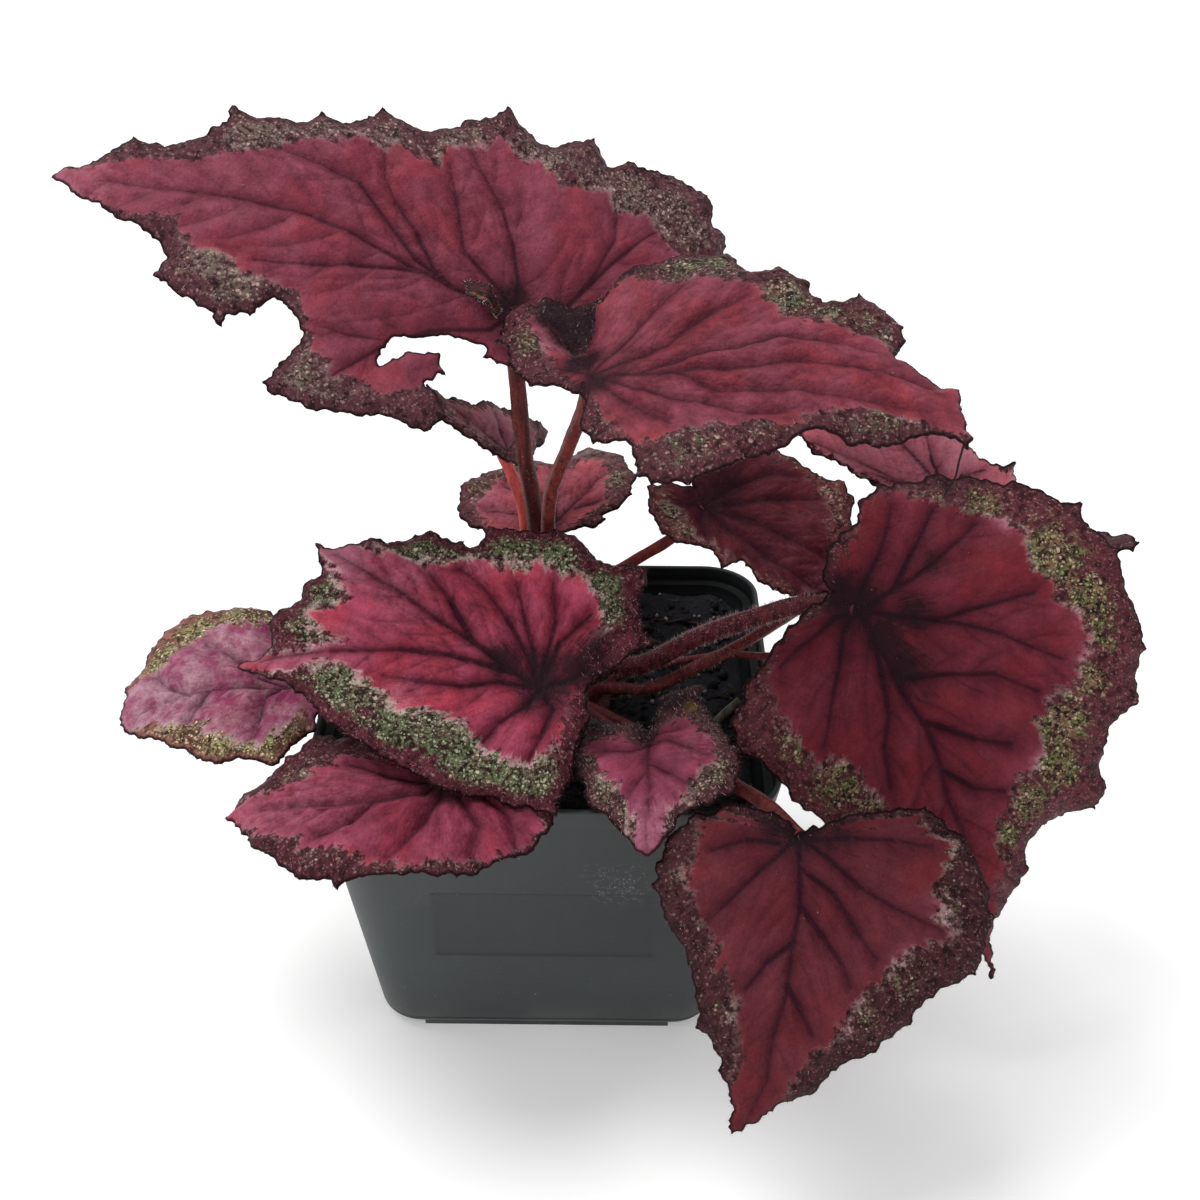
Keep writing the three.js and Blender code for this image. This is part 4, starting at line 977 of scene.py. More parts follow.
def bladeFinish(name, given):
    finish = Finish(name, Specular_IOR_Level=0.09, Specular_Tint=(1.0, 0.72, 0.74, 1.0))
    body, edge, fromFoot, valley = finish.attributes("body", "edge", "fromFoot", "valley")
    core, power, halo = finish.attributes("veinCore", "veinPower", "veinHalo")
    green, dark, pale = finish.attributes("green", "dark", "pale")
    rays, = finish.attributes("rays", output="Vector")
    broad, jag, fine = finish.noise(7, 3, 0.6), finish.noise(2.0, 4, 0.62), finish.noise(0.6, 3, 0.65)
    grain, flame = finish.noise(0.28, 2, 0.6), finish.noise(3.2, 2, 0.5, rays)
    streak, fibre = finish.noise(1.1, 3, 0.62, rays), finish.noise(0.45, 3, 0.6, rays)
    bent = finish.warped(1.6, 0.9)
    line = core.rise(1.15, 0.3) * power * given["veinTone"]

    # red middle: deep by the veins and the stalk, pinker or ruddier between veins and outwards; the
    # quilting's valleys along the veins are painted darker and its puffs lighter, as painted shade and light
    tone = broad * 1.5 + (jag - 0.5) * 0.9 + (streak - 0.5) * 0.7 + fromFoot * 0.3 - valley * 0.7 - 0.12
    ruddy = tuple(c * share for c, share in zip(given["rich"], (1.02, 0.8, 0.76)))
    rich = finish.mix(finish.noise(12, 2, 0.5).rise(0.42, 0.6) * 0.8, given["rich"], ruddy)
    middle = finish.mix(tone.clamped(), given["deep"], rich)
    silver = pale * 1.15 + ((jag - 0.5) * 1.6 + (streak - 0.5) * 0.8) * pale.rise(0.02, 0.25)
    middle = finish.mix(silver.clamped() * 0.85, middle, given["silver"])
    if given["mottle"]:
        mottle = finish.noise(5, 4, 0.65).rise(0.42, 0.66) * given["mottle"]
        middle = finish.mix(mottle, middle, bladeTones["mottle"])
    netGap, _ = finish.cells(1.5, "DISTANCE_TO_EDGE", bent)
    shadow = given["shadow"]
    middle = finish.mix(netGap.rise(0.14, 0.0) * 0.1, middle, shadow)
    # the dark purple halo along the veins is partly the leaf's own colour and partly painted shade
    middle = finish.mix(halo * given["halo"] * (streak * 0.8 + 0.6), middle, shadow)
    middle = finish.mix(line * (0.9 - fromFoot * 0.25), middle, shade(shadow, 0.75))

    # outer band: dusky maroon fibres and specks, dense and green in patches next to the red middle
    margin, speck, reach, grit = given["margin"], given["speck"], given["greenReach"], given["grit"]
    weave = (streak * 0.7 + jag * 1.2 + fibre * 1.0 - 0.95).clamped()
    outer = finish.mix(weave, shade(margin, 0.52), shade(margin, 1.32))
    # painted shade: the pocket patches darken the outer band in a shaded pocket
    if given["hollow"]:
        hollow, = finish.attributes("hollow")
        pocketShadeMask = hollow + (fine - 0.5) * 0.8 + (jag - 0.5) * 0.5
        outer = finish.mix(pocketShadeMask.rise(0.15, 0.9) * 0.9, outer, bladeTones["hollow"])
    hug = (body * -1).rise(reach * 1.5, reach * 0.75)
    outward = green * 1.15 * hug + ((jag - 0.5) * 2.0 + (streak - 0.5) * 1.4) * green.rise(0.03, 0.3)
    greenHere = outward.rise(0.25, 0.8) * edge.rise(*given["rim"])
    worms = finish.noise(0.9, 2, 0.5, bent)
    lit = finish.mix(broad.rise(0.42, 0.58), shade(given["leafGreen"], 1.12), given["umber"])
    ground = finish.mix((worms + fine * 0.6 + fibre * 0.4).rise(0.85, 1.07), given["pit"], lit)
    outer = finish.mix(greenHere * 0.9, outer, ground)
    outer = finish.mix(edge.rise(3.2, 1.2) * 0.35, outer, shade(margin, 0.75))
    small, smallChance = finish.specks(0.72, 0.06, 0.5, bent)
    large, largeChance = finish.specks(1.05, -0.12, 0.43, bent)
    outer = finish.mix(largeChance.rise(0.38, 0.22) * large.rise(0.9, 0.2) * 0.65, outer, bladeTones["pore"])
    dotTone = finish.mix(greenHere, given["grain"], shade(speck, 1.12))
    glint = abs(worms - 0.55).rise(0.035, 0.01) * fine.rise(0.42, 0.58) * (greenHere * 0.5 + grit * 0.5)
    outer = finish.mix(glint, outer, dotTone)
    outer = finish.mix(small * (greenHere * 0.8 + grit * 1.3) * smallChance.rise(0.25, 0.7), outer, dotTone)
    brightest = finish.mix(jag.rise(0.45, 0.55), shade(speck, 1.3), bladeTones["glint"])
    outer = finish.mix(large * (greenHere * 0.8 + grit) * largeChance.rise(0.45, 0.75), outer, brightest)
    pinkish = small * smallChance.rise(0.45, 0.2) * edge.rise(0.6, 2.4) * (1 - greenHere * 0.5)
    outer = finish.mix(pinkish * 0.55, outer, given["blush"])
    if given["gold"]:
        gold, = finish.attributes("gold")
        outer = finish.mix(gold * jag.rise(0.35, 0.6), outer, bladeTones["gold"])

    # both, with a ragged border, a pale seam along it, dark blots that are partly painted shade, dust and a
    # dark rim
    ragged = body + (flame - 0.5) * given["flames"] + (streak - 0.5) * 2.2 + (jag - 0.5) * 4.4
    ragged = ragged + (fine - 0.5) * 1.8 + valley * 1.8 - 0.8
    isBody = ragged.rise(-0.4, 0.4)
    base = finish.mix(isBody, outer, middle)
    seam = ragged.rise(-1.9, -0.1) * ragged.rise(1.2, 0.1) * (green * 0.9 + pale * 0.6 + 0.1)
    seam = seam * jag.rise(0.42, 0.58) * (fine * 1.6 + 0.2) * given["fringe"] * 1.3
    base = finish.mix(seam.clamped() * 0.85, base, finish.mix(streak.rise(0.4, 0.6), *bladeTones["seam"]))
    # dark patches: the leaf's own dark blotch by the stalk, and painted shade where the leaf lies in shadow
    blotAndShade = (jag - 0.5) * 1.3 + (streak - 0.5) * 1.2 + (fine - 0.5) * 0.8
    blotAndShade = dark * 1.35 + blotAndShade * dark.rise(0.03, 0.3)
    base = finish.mix(blotAndShade.rise(0.2, 1.1) * 0.92, base, bladeTones["blotAndShade"])
    dust, _ = finish.specks(1.7, -0.3, 0.13)
    base = finish.mix(dust * fine.rise(0.35, 0.6) * 0.6, base, bladeTones["dust"])
    base = finish.mix(edge.rise(0.7, 0.2) * 0.9, base, bladeTones["rim"])
    mottled = (fine - 0.5) * (1.2 - isBody * 0.6) + (grain - 0.5) * 0.35 + 1.0
    base = finish.mix(1.0, base, mottled, "MULTIPLY")
    roughness = 0.5 + (jag - 0.5) * 0.3 + (fine - 0.5) * 0.2
    relief = netGap.rise(0.0, 0.25) * 0.2 + fine * 0.45 + grain * 0.2
    relief = relief + (1 - isBody) * (small * 0.4 + streak * 1.0) + jag * 1.2
    return finish.done(base, roughness, finish.bump(relief, 0.3, 0.9))


def undersideFinish(name):
    finish = Finish(name, Specular_IOR_Level=0.25)
    core, power, edge = finish.attributes("veinCore", "veinPower", "edge")
    line = core.rise(2.2, 0.8) * power
    broad, fine = finish.noise(6, 3), finish.noise(0.6, 3, 0.7)
    netGap, _ = finish.cells(1.5, "DISTANCE_TO_EDGE", finish.warped(1.6, 0.9))
    base = finish.mix(broad.rise(0.3, 0.7), *undersideTones["skin"])
    base = finish.mix(netGap.rise(0.14, 0.0) * 0.25, base, undersideTones["net"])
    base = finish.mix(line * 0.8, base, undersideTones["vein"])
    base = finish.mix(edge.rise(3.0, 0.0) * 0.6, base, undersideTones["rim"])
    base = finish.mix(1.0, base, fine * 0.5 + 0.75, "MULTIPLY")
    relief = line * 1.6 + netGap.rise(0.16, 0.0) * 0.5 + fine * 0.3
    return finish.done(base, 0.55 + (fine - 0.5) * 0.2, finish.bump(relief, 0.5, 0.9))


def hairFinish(name, low, high):
    finish = Finish(name, Roughness=0.5, Specular_IOR_Level=0.4)
    return finish.done(finish.mix(finish.noise(2.5, 2).rise(0.35, 0.65), low, high))


underside = undersideFinish("bladeUnderside")
marginHair = hairFinish("marginHair", (52, 24, 30), (110, 64, 68))
stalkHair = hairFinish("stalkHair", (88, 46, 48), (182, 128, 122))
paleHair = hairFinish("paleHair", (140, 92, 96), (222, 190, 192))
dice = random.Random(5)
grown = {}


def growBlade(leafName, given, slot, face, back, hair):
    leaf = Leaf(leafName, given)
    node = given.get("node", leafName + "_leaf")
    blade = finished(leafName + "Blade", leaf.blade(), [face, back], slot, node)
    thick = blade.modifiers.new("Thickness", "SOLIDIFY")
    thick.thickness = bladeSize["thickness"] * mm
    thick.offset = -1
    thick.material_offset = 1
    thick.material_offset_rim = 0
    fringe = leaf.hairs()
    hairPiece(leafName + "Hairs", fringe, hair, slot)
    if given["bristle"]:
        hairPiece(leafName + "Bristles", leaf.bristles(), paleHair, slot)
    print("blade", leafName, len(blade.data.polygons), "faces,", len(fringe), "hairs")
    return leaf


for leafName, own in leaves.items():
    given = {**usual, **own}
    slot = "silver_blade" if leafName in ("silver", "pale") else "red_blade"
    face = bladeFinish(leafName + "Face", given)
    grown[leafName] = growBlade(leafName, given, slot, face, underside, marginHair)

# The dried bract that clings to the stalk of the upper left leaf, and the dead thread at a leaf's tip
bract = {
    "junction": (502, 311, 1.1), "tip": (463, 284, -0.4), "side": (492, 281, 5.1), "arch": 0.1, "cup": 0.3,
    "outline": [(501, 316), (490, 313), (478, 306), (470, 303), (462, 296), (465, 290), (463, 283),
                (474, 277), (480, 281), (487, 282), (492, 291), (499, 296), (505, 306)],
    "body": [(500, 314), (466, 296), (464, 286), (476, 280), (486, 284), (503, 306)],
    "veins": [[(490, 304), (466, 286)], [(492, 300), (480, 283)]],
    "green": [], "dark": [], "pale": [], "vein": 0.4, "quilt": 0.7, "ruffle": 2.2, "pleats": (12, 1.3),
    "bristle": 1.2, "node": "dried_bract",
    # fold and fleck are painted highlights: golden lines along the folds and fine bright flecks
    "papery": ((16, 6, 9), (98, 40, 42)), "fold": (150, 98, 60), "fleck": (176, 124, 108),
    "rimTone": (24, 10, 14),
}
thread = {"leaf": "upper_right", "from": (965, 441), "radius": 0.22, "step": 0.6, "sides": 6,
          "by": [(959, 462, -47), (955, 478, -47.5), (944, 497, -48)]}


def bractFinish(name):
    finish = Finish(name, Specular_IOR_Level=0.3)
    streak, fine = finish.noise(0.8, 3, 0.7, finish.stretched((0.4, 1, 1))), finish.noise(0.4, 3, 0.7)
    rays, = finish.attributes("rays", output="Vector")
    fold = finish.noise(6, 2, 0.5, rays)
    edge, = finish.attributes("edge")
    base = finish.mix(streak.rise(0.38, 0.62), *bract["papery"])
    # painted highlights: golden lines along the folds, then fine bright flecks
    base = finish.mix(fold.rise(0.52, 0.6) * 0.75, base, bract["fold"])
    base = finish.mix(fine.rise(0.56, 0.7) * 0.4, base, bract["fleck"])
    base = finish.mix(edge.rise(1.0, 0.3) * 0.85, base, bract["rimTone"])
    return finish.done(base, 0.6 + (fine - 0.5) * 0.3, finish.bump(streak + fine + fold * 2, 0.4))


dryPaper = bractFinish("dryPaper")
growBlade("bract", {**usual, **bract}, "dead_bract", dryPaper, dryPaper, paleHair)

# Stalks follow the same points as the solids they stand for
stalks = {
    "upper_left": {"radius": 1.95, "foot": (-0.3, 0.2),
                   "by": [(536, 528, 4.5), (524, 452, 5), (517, 378, 4.5)],
                   "tone": ((108, 48, 43), (62, 27, 29)), "hairs": 640},
    "upper_right": {"radius": 1.6, "foot": (0.16, 0),
                    "by": [(549, 507, -3), (567, 450, -14), (583, 410, -25)],
                    "tone": ((122, 54, 49), (80, 35, 34)), "hairs": 280},
    "right": {"radius": 2.2, "foot": (0.62, 0.18),
              "by": [(640, 665, -3), (700, 636, -8), (760, 616, -14), (806, 605, -17)],
              "tone": ((108, 49, 53), (54, 26, 33)), "hairs": 2600},
    "front": {"radius": 1.6, "foot": (0.5, -0.72), "by": [(690, 760, -34), (731, 783, -43), (773, 810, -54)],
              "tone": ((118, 58, 53), (80, 38, 38)), "hairs": 200},
    "centre": {"radius": 1.8, "foot": (-0.08, -0.4), "by": [(540, 705, -20)],
               "tone": ((104, 46, 46), (66, 32, 36)), "hairs": 150},
    "silver": {"radius": 1.4, "foot": (-0.85, -0.1), "by": [(420, 694, -6), (360, 688, -11)],
               "tone": ((126, 62, 66), (92, 46, 50)), "hairs": 120},
    "lower_left": {"radius": 1.5, "foot": (-0.42, -0.66), "by": [(490, 764, -30)],
                   "tone": ((112, 50, 50), (78, 36, 40)), "hairs": 120},
    "small_front": {"radius": 1.2, "foot": (0.25, -0.66), "by": [(622, 735, -24)],
                    "tone": ((122, 56, 60), (84, 40, 46)), "hairs": 120},
    "shaded": {"radius": 1.4, "foot": (0.4, 0.6), "by": [(590, 592, 10), (632, 562, 12), (672, 538, 13)],
               "tone": ((124, 52, 48), (92, 40, 42)), "hairs": 120},
    "pale": {"radius": 1.4, "foot": (0.75, -0.32),
             "by": [(650, 688, -7), (700, 665, -4), (740, 645, 1), (840, 580, 18)],
             "tone": ((122, 56, 56), (78, 37, 41)), "hairs": 900},
    "back": {"radius": 1.2, "foot": (-0.05, 0.75), "by": [(552, 600, 14), (555, 550, 21)],
             "tone": ((132, 62, 58), (96, 46, 46)), "hairs": 60},
    "folded": {"radius": 1.3, "foot": (-0.6, 0.5), "by": [(525, 528, 9), (515, 485, 11)],
               "tone": ((232, 102, 95), (180, 74, 73)), "hairs": 50},
    "hidden": {"radius": 0.9, "foot": (0.9, 0.28),
               "by": [(725, 655, 4), (768, 656, 2), (900, 640, 10), (985, 622, 20)],
               "tone": ((142, 66, 68), (104, 48, 52)), "hairs": 50},
}
crown = {   # rough and scars: share of the radius, and how often
    "centre": (-1, 2, 64), "radii": (15, 10, 7), "knobs": 7, "swell": 0.035, "gap": 0.3, "rise": 3,
    "inset": 0.99, "rough": ((0.05, 4), (0.03, 11)), "scars": (0.03, 27), "bristles": 420,
    "bark": ((62, 40, 34), (122, 66, 56)), "fleck": (150, 120, 84), "pit": (34, 26, 22),
}
stalkSize = {   # flare: share of the radius, and how far it reaches in mm
    "sides": 18, "step": 0.9, "sunk": 1.2, "baseFlare": (0.35, 4), "topFlare": (0.25, 3), "taper": 0.12,
    "ridges": (0.035, 5, 0.15), "lumps": (0.06, 0.3), "seat": 0.95, "hairRoot": 0.9, "pore": (176, 128, 116),
}


def crownSurface(direction):
    swell = crown["swell"] * math.sin(crown["knobs"] * math.atan2(direction[1], direction[0]))
    reach = 1 + swell * (1 - direction[2] ** 2)
    return np.array(crown["centre"]) + np.array(direction) * np.array(crown["radii"]) * reach


def routeOf(leaf, given):   # control points of a stalk, from inside the crown to the underside of its blade
    a, b = given["foot"]
    root = np.array([a, b, math.sqrt(1 - a * a - b * b)])
    outward = root / np.array(crown["radii"])
    outward /= np.linalg.norm(outward)
    start = crownSurface(root) + outward * crown["gap"]
    way = [seenAt(p) for p in given["by"]]
    facing = leaf.facingAtFoot()
    coming = leaf.foot - way[-1]
    coming /= np.linalg.norm(coming)
    slant = math.sqrt(max(0, 1 - (coming @ facing) ** 2))
    under = bladeSize["thickness"] * 0.5 + given["radius"] * slant * stalkSize["seat"]
    end = leaf.onBlade(np.zeros(2)) - facing * under
    return [start - outward * stalkSize["sunk"], start, start + outward * crown["rise"], *way, end]


def smoothRoute(points, step):   # centripetal Catmull-Rom through the points, in even steps
    points = [2 * points[0] - points[1], *points, 2 * points[-1] - points[-2]]
    route = []
    for p0, p1, p2, p3 in zip(points, points[1:], points[2:], points[3:]):
        t1 = np.linalg.norm(p1 - p0) ** 0.5
        t2 = t1 + np.linalg.norm(p2 - p1) ** 0.5
        t3 = t2 + np.linalg.norm(p3 - p2) ** 0.5
        pieces = max(1, round(np.linalg.norm(p2 - p1) / step))
        for k in range(pieces):
            t = t1 + (t2 - t1) * k / pieces
            a1 = (t1 - t) / t1 * p0 + t / t1 * p1
            a2 = (t2 - t) / (t2 - t1) * p1 + (t - t1) / (t2 - t1) * p2
            a3 = (t3 - t) / (t3 - t2) * p2 + (t - t2) / (t3 - t2) * p3
            b1 = (t2 - t) / t2 * a1 + t / t2 * a2
            b2 = (t3 - t) / (t3 - t1) * a2 + (t - t1) / (t3 - t1) * a3
            route.append((t2 - t) / (t2 - t1) * b1 + (t - t1) / (t2 - t1) * b2)
    route.append(points[-2])
    return np.array(route)


def tube(name, route, radiusAt, sides):   # one ring extruded along a route, with both ends closed
    bm = bmesh.new()
    ring = bmesh.ops.create_circle(bm, segments=sides, radius=1, cap_ends=False)["verts"]
    edges = list(bm.edges)
    first = ring
    ways = np.gradient(route, axis=0)
    ways /= np.linalg.norm(ways, axis=1)[:, None]
    side = np.cross(ways[0], (0.3, 1.0, 0.2))
    gone = np.concatenate([[0], np.cumsum(np.linalg.norm(np.diff(route, axis=0), axis=1))])
    for k, (centre, way) in enumerate(zip(route, ways)):
        side = side - (side @ way) * way
        side /= np.linalg.norm(side)
        if k:
            ring, edges = nextRing(bm, ring, edges)
        for n, v in enumerate(ring):
            angle = 2 * math.pi * n / sides
            out = math.cos(angle) * side + math.sin(angle) * np.cross(way, side)
            v.co = Vector((centre + radiusAt(angle, gone[k], gone[-1]) * out) * mm)
    bmesh.ops.contextual_create(bm, geom=first)
    bmesh.ops.contextual_create(bm, geom=ring)
    bmesh.ops.recalc_face_normals(bm, faces=bm.faces)
    return meshFrom(name, bm)


def stalkRadius(radius):   # flared at both ends, faintly ribbed and lumpy, thinner at the top
    (base, baseReach), (top, topReach) = stalkSize["baseFlare"], stalkSize["topFlare"]
    (ridge, ridges, twist), (lump, lumpWave) = stalkSize["ridges"], stalkSize["lumps"]

    def at(angle, gone, whole):
        flare = base * math.exp(-gone / baseReach) + top * math.exp(-(whole - gone) / topReach)
        ribs = ridge * math.sin(ridges * angle + twist * gone)
        lumps = lump * noise.noise(Vector((math.cos(angle), math.sin(angle), gone * lumpWave)))
        return radius * (1 + flare + ribs + lumps - stalkSize["taper"] * gone / whole)
    return at


def stalkFinish(name, light, shadow):
    finish = Finish(name, Specular_IOR_Level=0.1)
    streak = finish.noise(1.2, 3, 0.6, finish.stretched((1.0, 1.0, 0.18)))
    dot, chance = finish.specks(0.8, -0.1, 0.35)
    pore, _ = finish.specks(0.55, -0.2, 0.3)
    base = finish.mix(streak.rise(0.3, 0.7), shadow, light)
    base = finish.mix(dot * chance.rise(0.4, 0.6) * 0.5, base, shade(shadow, 0.55))
    base = finish.mix(pore * 0.6, base, stalkSize["pore"])
    relief = streak * 0.7 + finish.noise(0.35, 2, 0.6) * 0.4 + pore * 0.4
    return finish.done(base, 0.42 + (streak - 0.5) * 0.3, finish.bump(relief, 0.3, 0.8))


def stalkHairs(route, radius, count):
    made = []
    for _ in range(count):
        k = dice.randrange(3, len(route) - 2)
        way = route[k + 1] - route[k - 1]
        way /= np.linalg.norm(way)
        out = np.cross(way, [dice.uniform(-1, 1) for _ in range(3)])
        out /= np.linalg.norm(out)
        spot = route[k] + (route[k + 1] - route[k]) * dice.random() + out * radius * stalkSize["hairRoot"]
        lean = out + way * dice.uniform(*hairSize["stalkLean"])
        made.append((spot, lean, dice.uniform(*hairSize["stalkLength"]), hairSize["radius"]))
    return made


for leafName, given in stalks.items():
    route = smoothRoute(routeOf(grown[leafName], given), stalkSize["step"])
    slot = "hairy_stalk" if leafName == "right" else "leaf_stalk"
    mesh = tube(leafName + "Stalk", route, stalkRadius(given["radius"]), stalkSize["sides"])
    skin = stalkFinish(leafName + "StalkSkin", *given["tone"])
    finished(leafName + "Stalk", mesh, [skin], slot, leafName + "_stalk")
    coat = paleHair if leafName in ("right", "pale") else stalkHair
    hairPiece(leafName + "StalkHairs", stalkHairs(route, given["radius"], given["hairs"]), coat, slot)
tipLeaf = grown[thread["leaf"]]
threadRoot = tipLeaf.onBlade(tipLeaf.castBack([thread["from"]])[0])
threadRoute = smoothRoute([threadRoot, *[seenAt(p) for p in thread["by"]]], thread["step"])
threadMesh = tube("dryThread", threadRoute, lambda angle, gone, whole: thread["radius"], thread["sides"])
finished("dryThread", threadMesh, [dryPaper], "dead_bract")
print("stalks and their hairs")

# The crown that the stalks rise from: a knobbly rhizome with leaf scars and bristles, and an old cut stalk
def crownFinish(name):
    finish = Finish(name, Specular_IOR_Level=0.3)
    patch, fine = finish.noise(3.5, 4, 0.65), finish.noise(0.6, 3, 0.7)
    base = finish.mix(patch.rise(0.35, 0.65), *crown["bark"])
    base = finish.mix(fine.rise(0.55, 0.8) * 0.5, base, crown["fleck"])
    base = finish.mix(finish.noise(1.4, 3).rise(0.6, 0.72) * 0.6, base, crown["pit"])
    return finish.done(base, 0.62 + (fine - 0.5) * 0.3, finish.bump(patch * 1.2 + fine * 0.5, 0.6))


def crownPoint(direction):
    rough = sum(height * noise.noise(Vector(direction) * wave) for height, wave in crown["rough"])
    scarDepth, scars = crown["scars"]
    middle = np.array(crown["centre"])
    share = crown["inset"] + rough + scarDepth * math.sin(scars * direction[0])
    return middle + (crownSurface(direction) - middle) * share


def crownMesh():
    bm = bmesh.new()
    bmesh.ops.create_icosphere(bm, subdivisions=5, radius=1)
    for v in bm.verts:
        v.co = Vector(crownPoint(v.co.normalized()) * mm)
    return meshFrom("rhizome", bm)


finished("rhizomeCrown", crownMesh(), [crownFinish("crownBark")], "rhizome_bark", "rhizome")
hairs = []
for _ in range(crown["bristles"]):
    direction = Vector([dice.gauss(0, 1) for _ in range(3)]).normalized()
    direction.z = abs(direction.z)
    lean = direction + Vector([dice.uniform(-0.5, 0.5) for _ in range(3)])
    length = dice.uniform(*hairSize["crownLength"])
    hairs.append((crownPoint(direction), lean, length, hairSize["crownRadius"]))
hairPiece("crownBristles", hairs, stalkHair, "rhizome_bark")

stub = {
    "foot": (37, -4, 61.5), "top": (43.6, -1.5, 67.5), "bow": 0.25, "radius": 1.1, "sides": 20, "step": 0.5,
    "facets": (0.05, 4), "taper": 0.1, "wall": 0.35, "dish": 0.5, "dishSlope": 0.12,
    "skin": ((118, 124, 108), (84, 84, 70)),
}


def stubMesh():   # an old stalk, cut off and hollowed as it dried
    foot, top = np.array(stub["foot"]), np.array(stub["top"])
    route = smoothRoute([foot, foot * 0.5 + top * 0.5 + (0, 0, stub["bow"]), top], stub["step"])
    depth, count = stub["facets"]

    def radiusAt(angle, gone, whole):
        return stub["radius"] * (1 + depth * math.sin(count * angle) - stub["taper"] * gone / whole)

    mesh = tube("stub", route, radiusAt, stub["sides"])
    bm = bmesh.new()
    bm.from_mesh(mesh)
    ends = [f for f in bm.faces if len(f.verts) == stub["sides"]]
    cut = max(ends, key=lambda f: f.calc_center_median().z)
    bmesh.ops.inset_region(bm, faces=[cut], thickness=stub["wall"] * mm, depth=0)
    bmesh.ops.inset_region(bm, faces=[cut], thickness=stub["dishSlope"] * mm, depth=-stub["dish"] * mm)
    bm.to_mesh(mesh)
    bm.free()
    return mesh


finished("stalkStub", stubMesh(), [stalkFinish("stubSkin", *stub["skin"])], "dead_stalk", "old_stalk_stub")
print("crown and stub")

# The square nursery pot
pot = {
    "top": 100, "base": 76, "height": 73, "wall": 1.4, "floor": 2, "rimBand": 5, "rimStep": 1.6,
    "topCorner": 11.5, "baseCorner": 9.5, "footRound": 3, "floorRound": 2, "lipRound": 0.5, "stepRound": 0.4,
    "footWidth": 56, "footReach": 36.4, "footHeight": 1.2, "cornerSteps": 12,
    "holeRadius": 4, "holeOffset": 19, "holeSides": 28, "hardEdge": 38,
    "labelWidth": 48, "labelLow": 26, "labelHigh": 46.5, "labelDepth": 0.45, "labelSlope": 0.9,
    "scuffs": ((15.5, 8.5), (49.5, 8)), "insideShade": 0.72,   # middle and reach, across and up
}
potTones = {
    "plastic": ((41, 46, 47), (54, 60, 61)), "streak": (74, 80, 80), "corner": (78, 83, 83),
    "splash": (96, 92, 84), "dust": (150, 150, 144), "rub": (90, 94, 92), "line": (18, 21, 22),
    "panel": (30, 34, 35), "leafShadow": (28, 33, 34), "scratch": (150, 154, 152), "ledge": (10, 11, 12),
}
quarters = ((1, 1), (-1, 1), (-1, -1), (1, -1))


def outerHalf(z):   # half the width of the wall at a height
    share = (z - pot["footHeight"]) / (pot["height"] - pot["footHeight"])
    return pot["base"] / 2 + (pot["top"] / 2 - pot["rimStep"] - pot["base"] / 2) * share


def squareRing(half, z):   # points round a square with round corners
    share = (z - pot["footHeight"]) / (pot["height"] - pot["footHeight"])
    corner = pot["baseCorner"] + (pot["topCorner"] - pot["baseCorner"]) * share + half - outerHalf(z)
    corner = max(0.5, corner)
    flat, points = half - corner, []
    for k in range(4 * (pot["cornerSteps"] + 1)):
        quarter, step = divmod(k, pot["cornerSteps"] + 1)
        angle = math.pi / 2 * (quarter + step / pot["cornerSteps"])
        x, y = quarters[quarter]
        points.append((flat * x + corner * math.cos(angle), flat * y + corner * math.sin(angle), z))
    return points


def rounding(radius, steps):   # how far a quarter round has still to go, and has gone up, at each step
    turns = [math.pi / 2 * k / steps for k in range(steps + 1)]
    return [(radius * (1 - math.sin(turn)), radius * (1 - math.cos(turn))) for turn in turns]


def potProfile():   # (half width, height) up the outside, over the lip and down the inside
    low, top, wall, small = pot["footHeight"], pot["height"], pot["wall"], pot["stepRound"]
    under, inside, lipInner = top - pot["rimBand"], low + pot["floor"], pot["top"] / 2 - wall
    ledge, rim = under + wall, outerHalf(under) + pot["rimStep"]
    levels = [(outerHalf(low + up) - left, low + up) for left, up in rounding(pot["footRound"], 5)]
    levels += [(outerHalf(z), z) for z in np.linspace(low + pot["footRound"] + 2, under - 1, 8)]
    levels += [(outerHalf(under), under - small), (outerHalf(under) + small * 0.3, under - small * 0.3),
               (outerHalf(under) + small, under), (rim - small, under),
               (rim - small * 0.3, under + small * 0.3), (rim, under + small)]
    lip = rounding(pot["lipRound"], 4)
    levels += [(outerHalf(top) + pot["rimStep"] - up, top - left) for left, up in lip]
    levels += [(lipInner + left, top - up) for left, up in lip]
    levels += [(lipInner, ledge + 1.2 * small), (lipInner - 0.3 * small, ledge + 0.3 * small),
               (lipInner - 1.2 * small, ledge), (outerHalf(ledge) - wall + 0.3 * small, ledge - 0.3 * small)]
    levels += [(outerHalf(z) - wall, z) for z in np.linspace(ledge - 1, inside + pot["floorRound"] + 2, 8)]
    levels += [(outerHalf(inside + left) - wall - up, inside + left)
               for left, up in rounding(pot["floorRound"], 5)]
    return levels


def ringAt(bm, points):   # a closed ring of edges through points given in mm
    ring = bmesh.ops.create_circle(bm, segments=len(points), radius=1, cap_ends=False)["verts"]
    for v, point in zip(ring, points):
        v.co = Vector(point) * mm
    return ring, list({e for v in ring for e in v.link_edges})


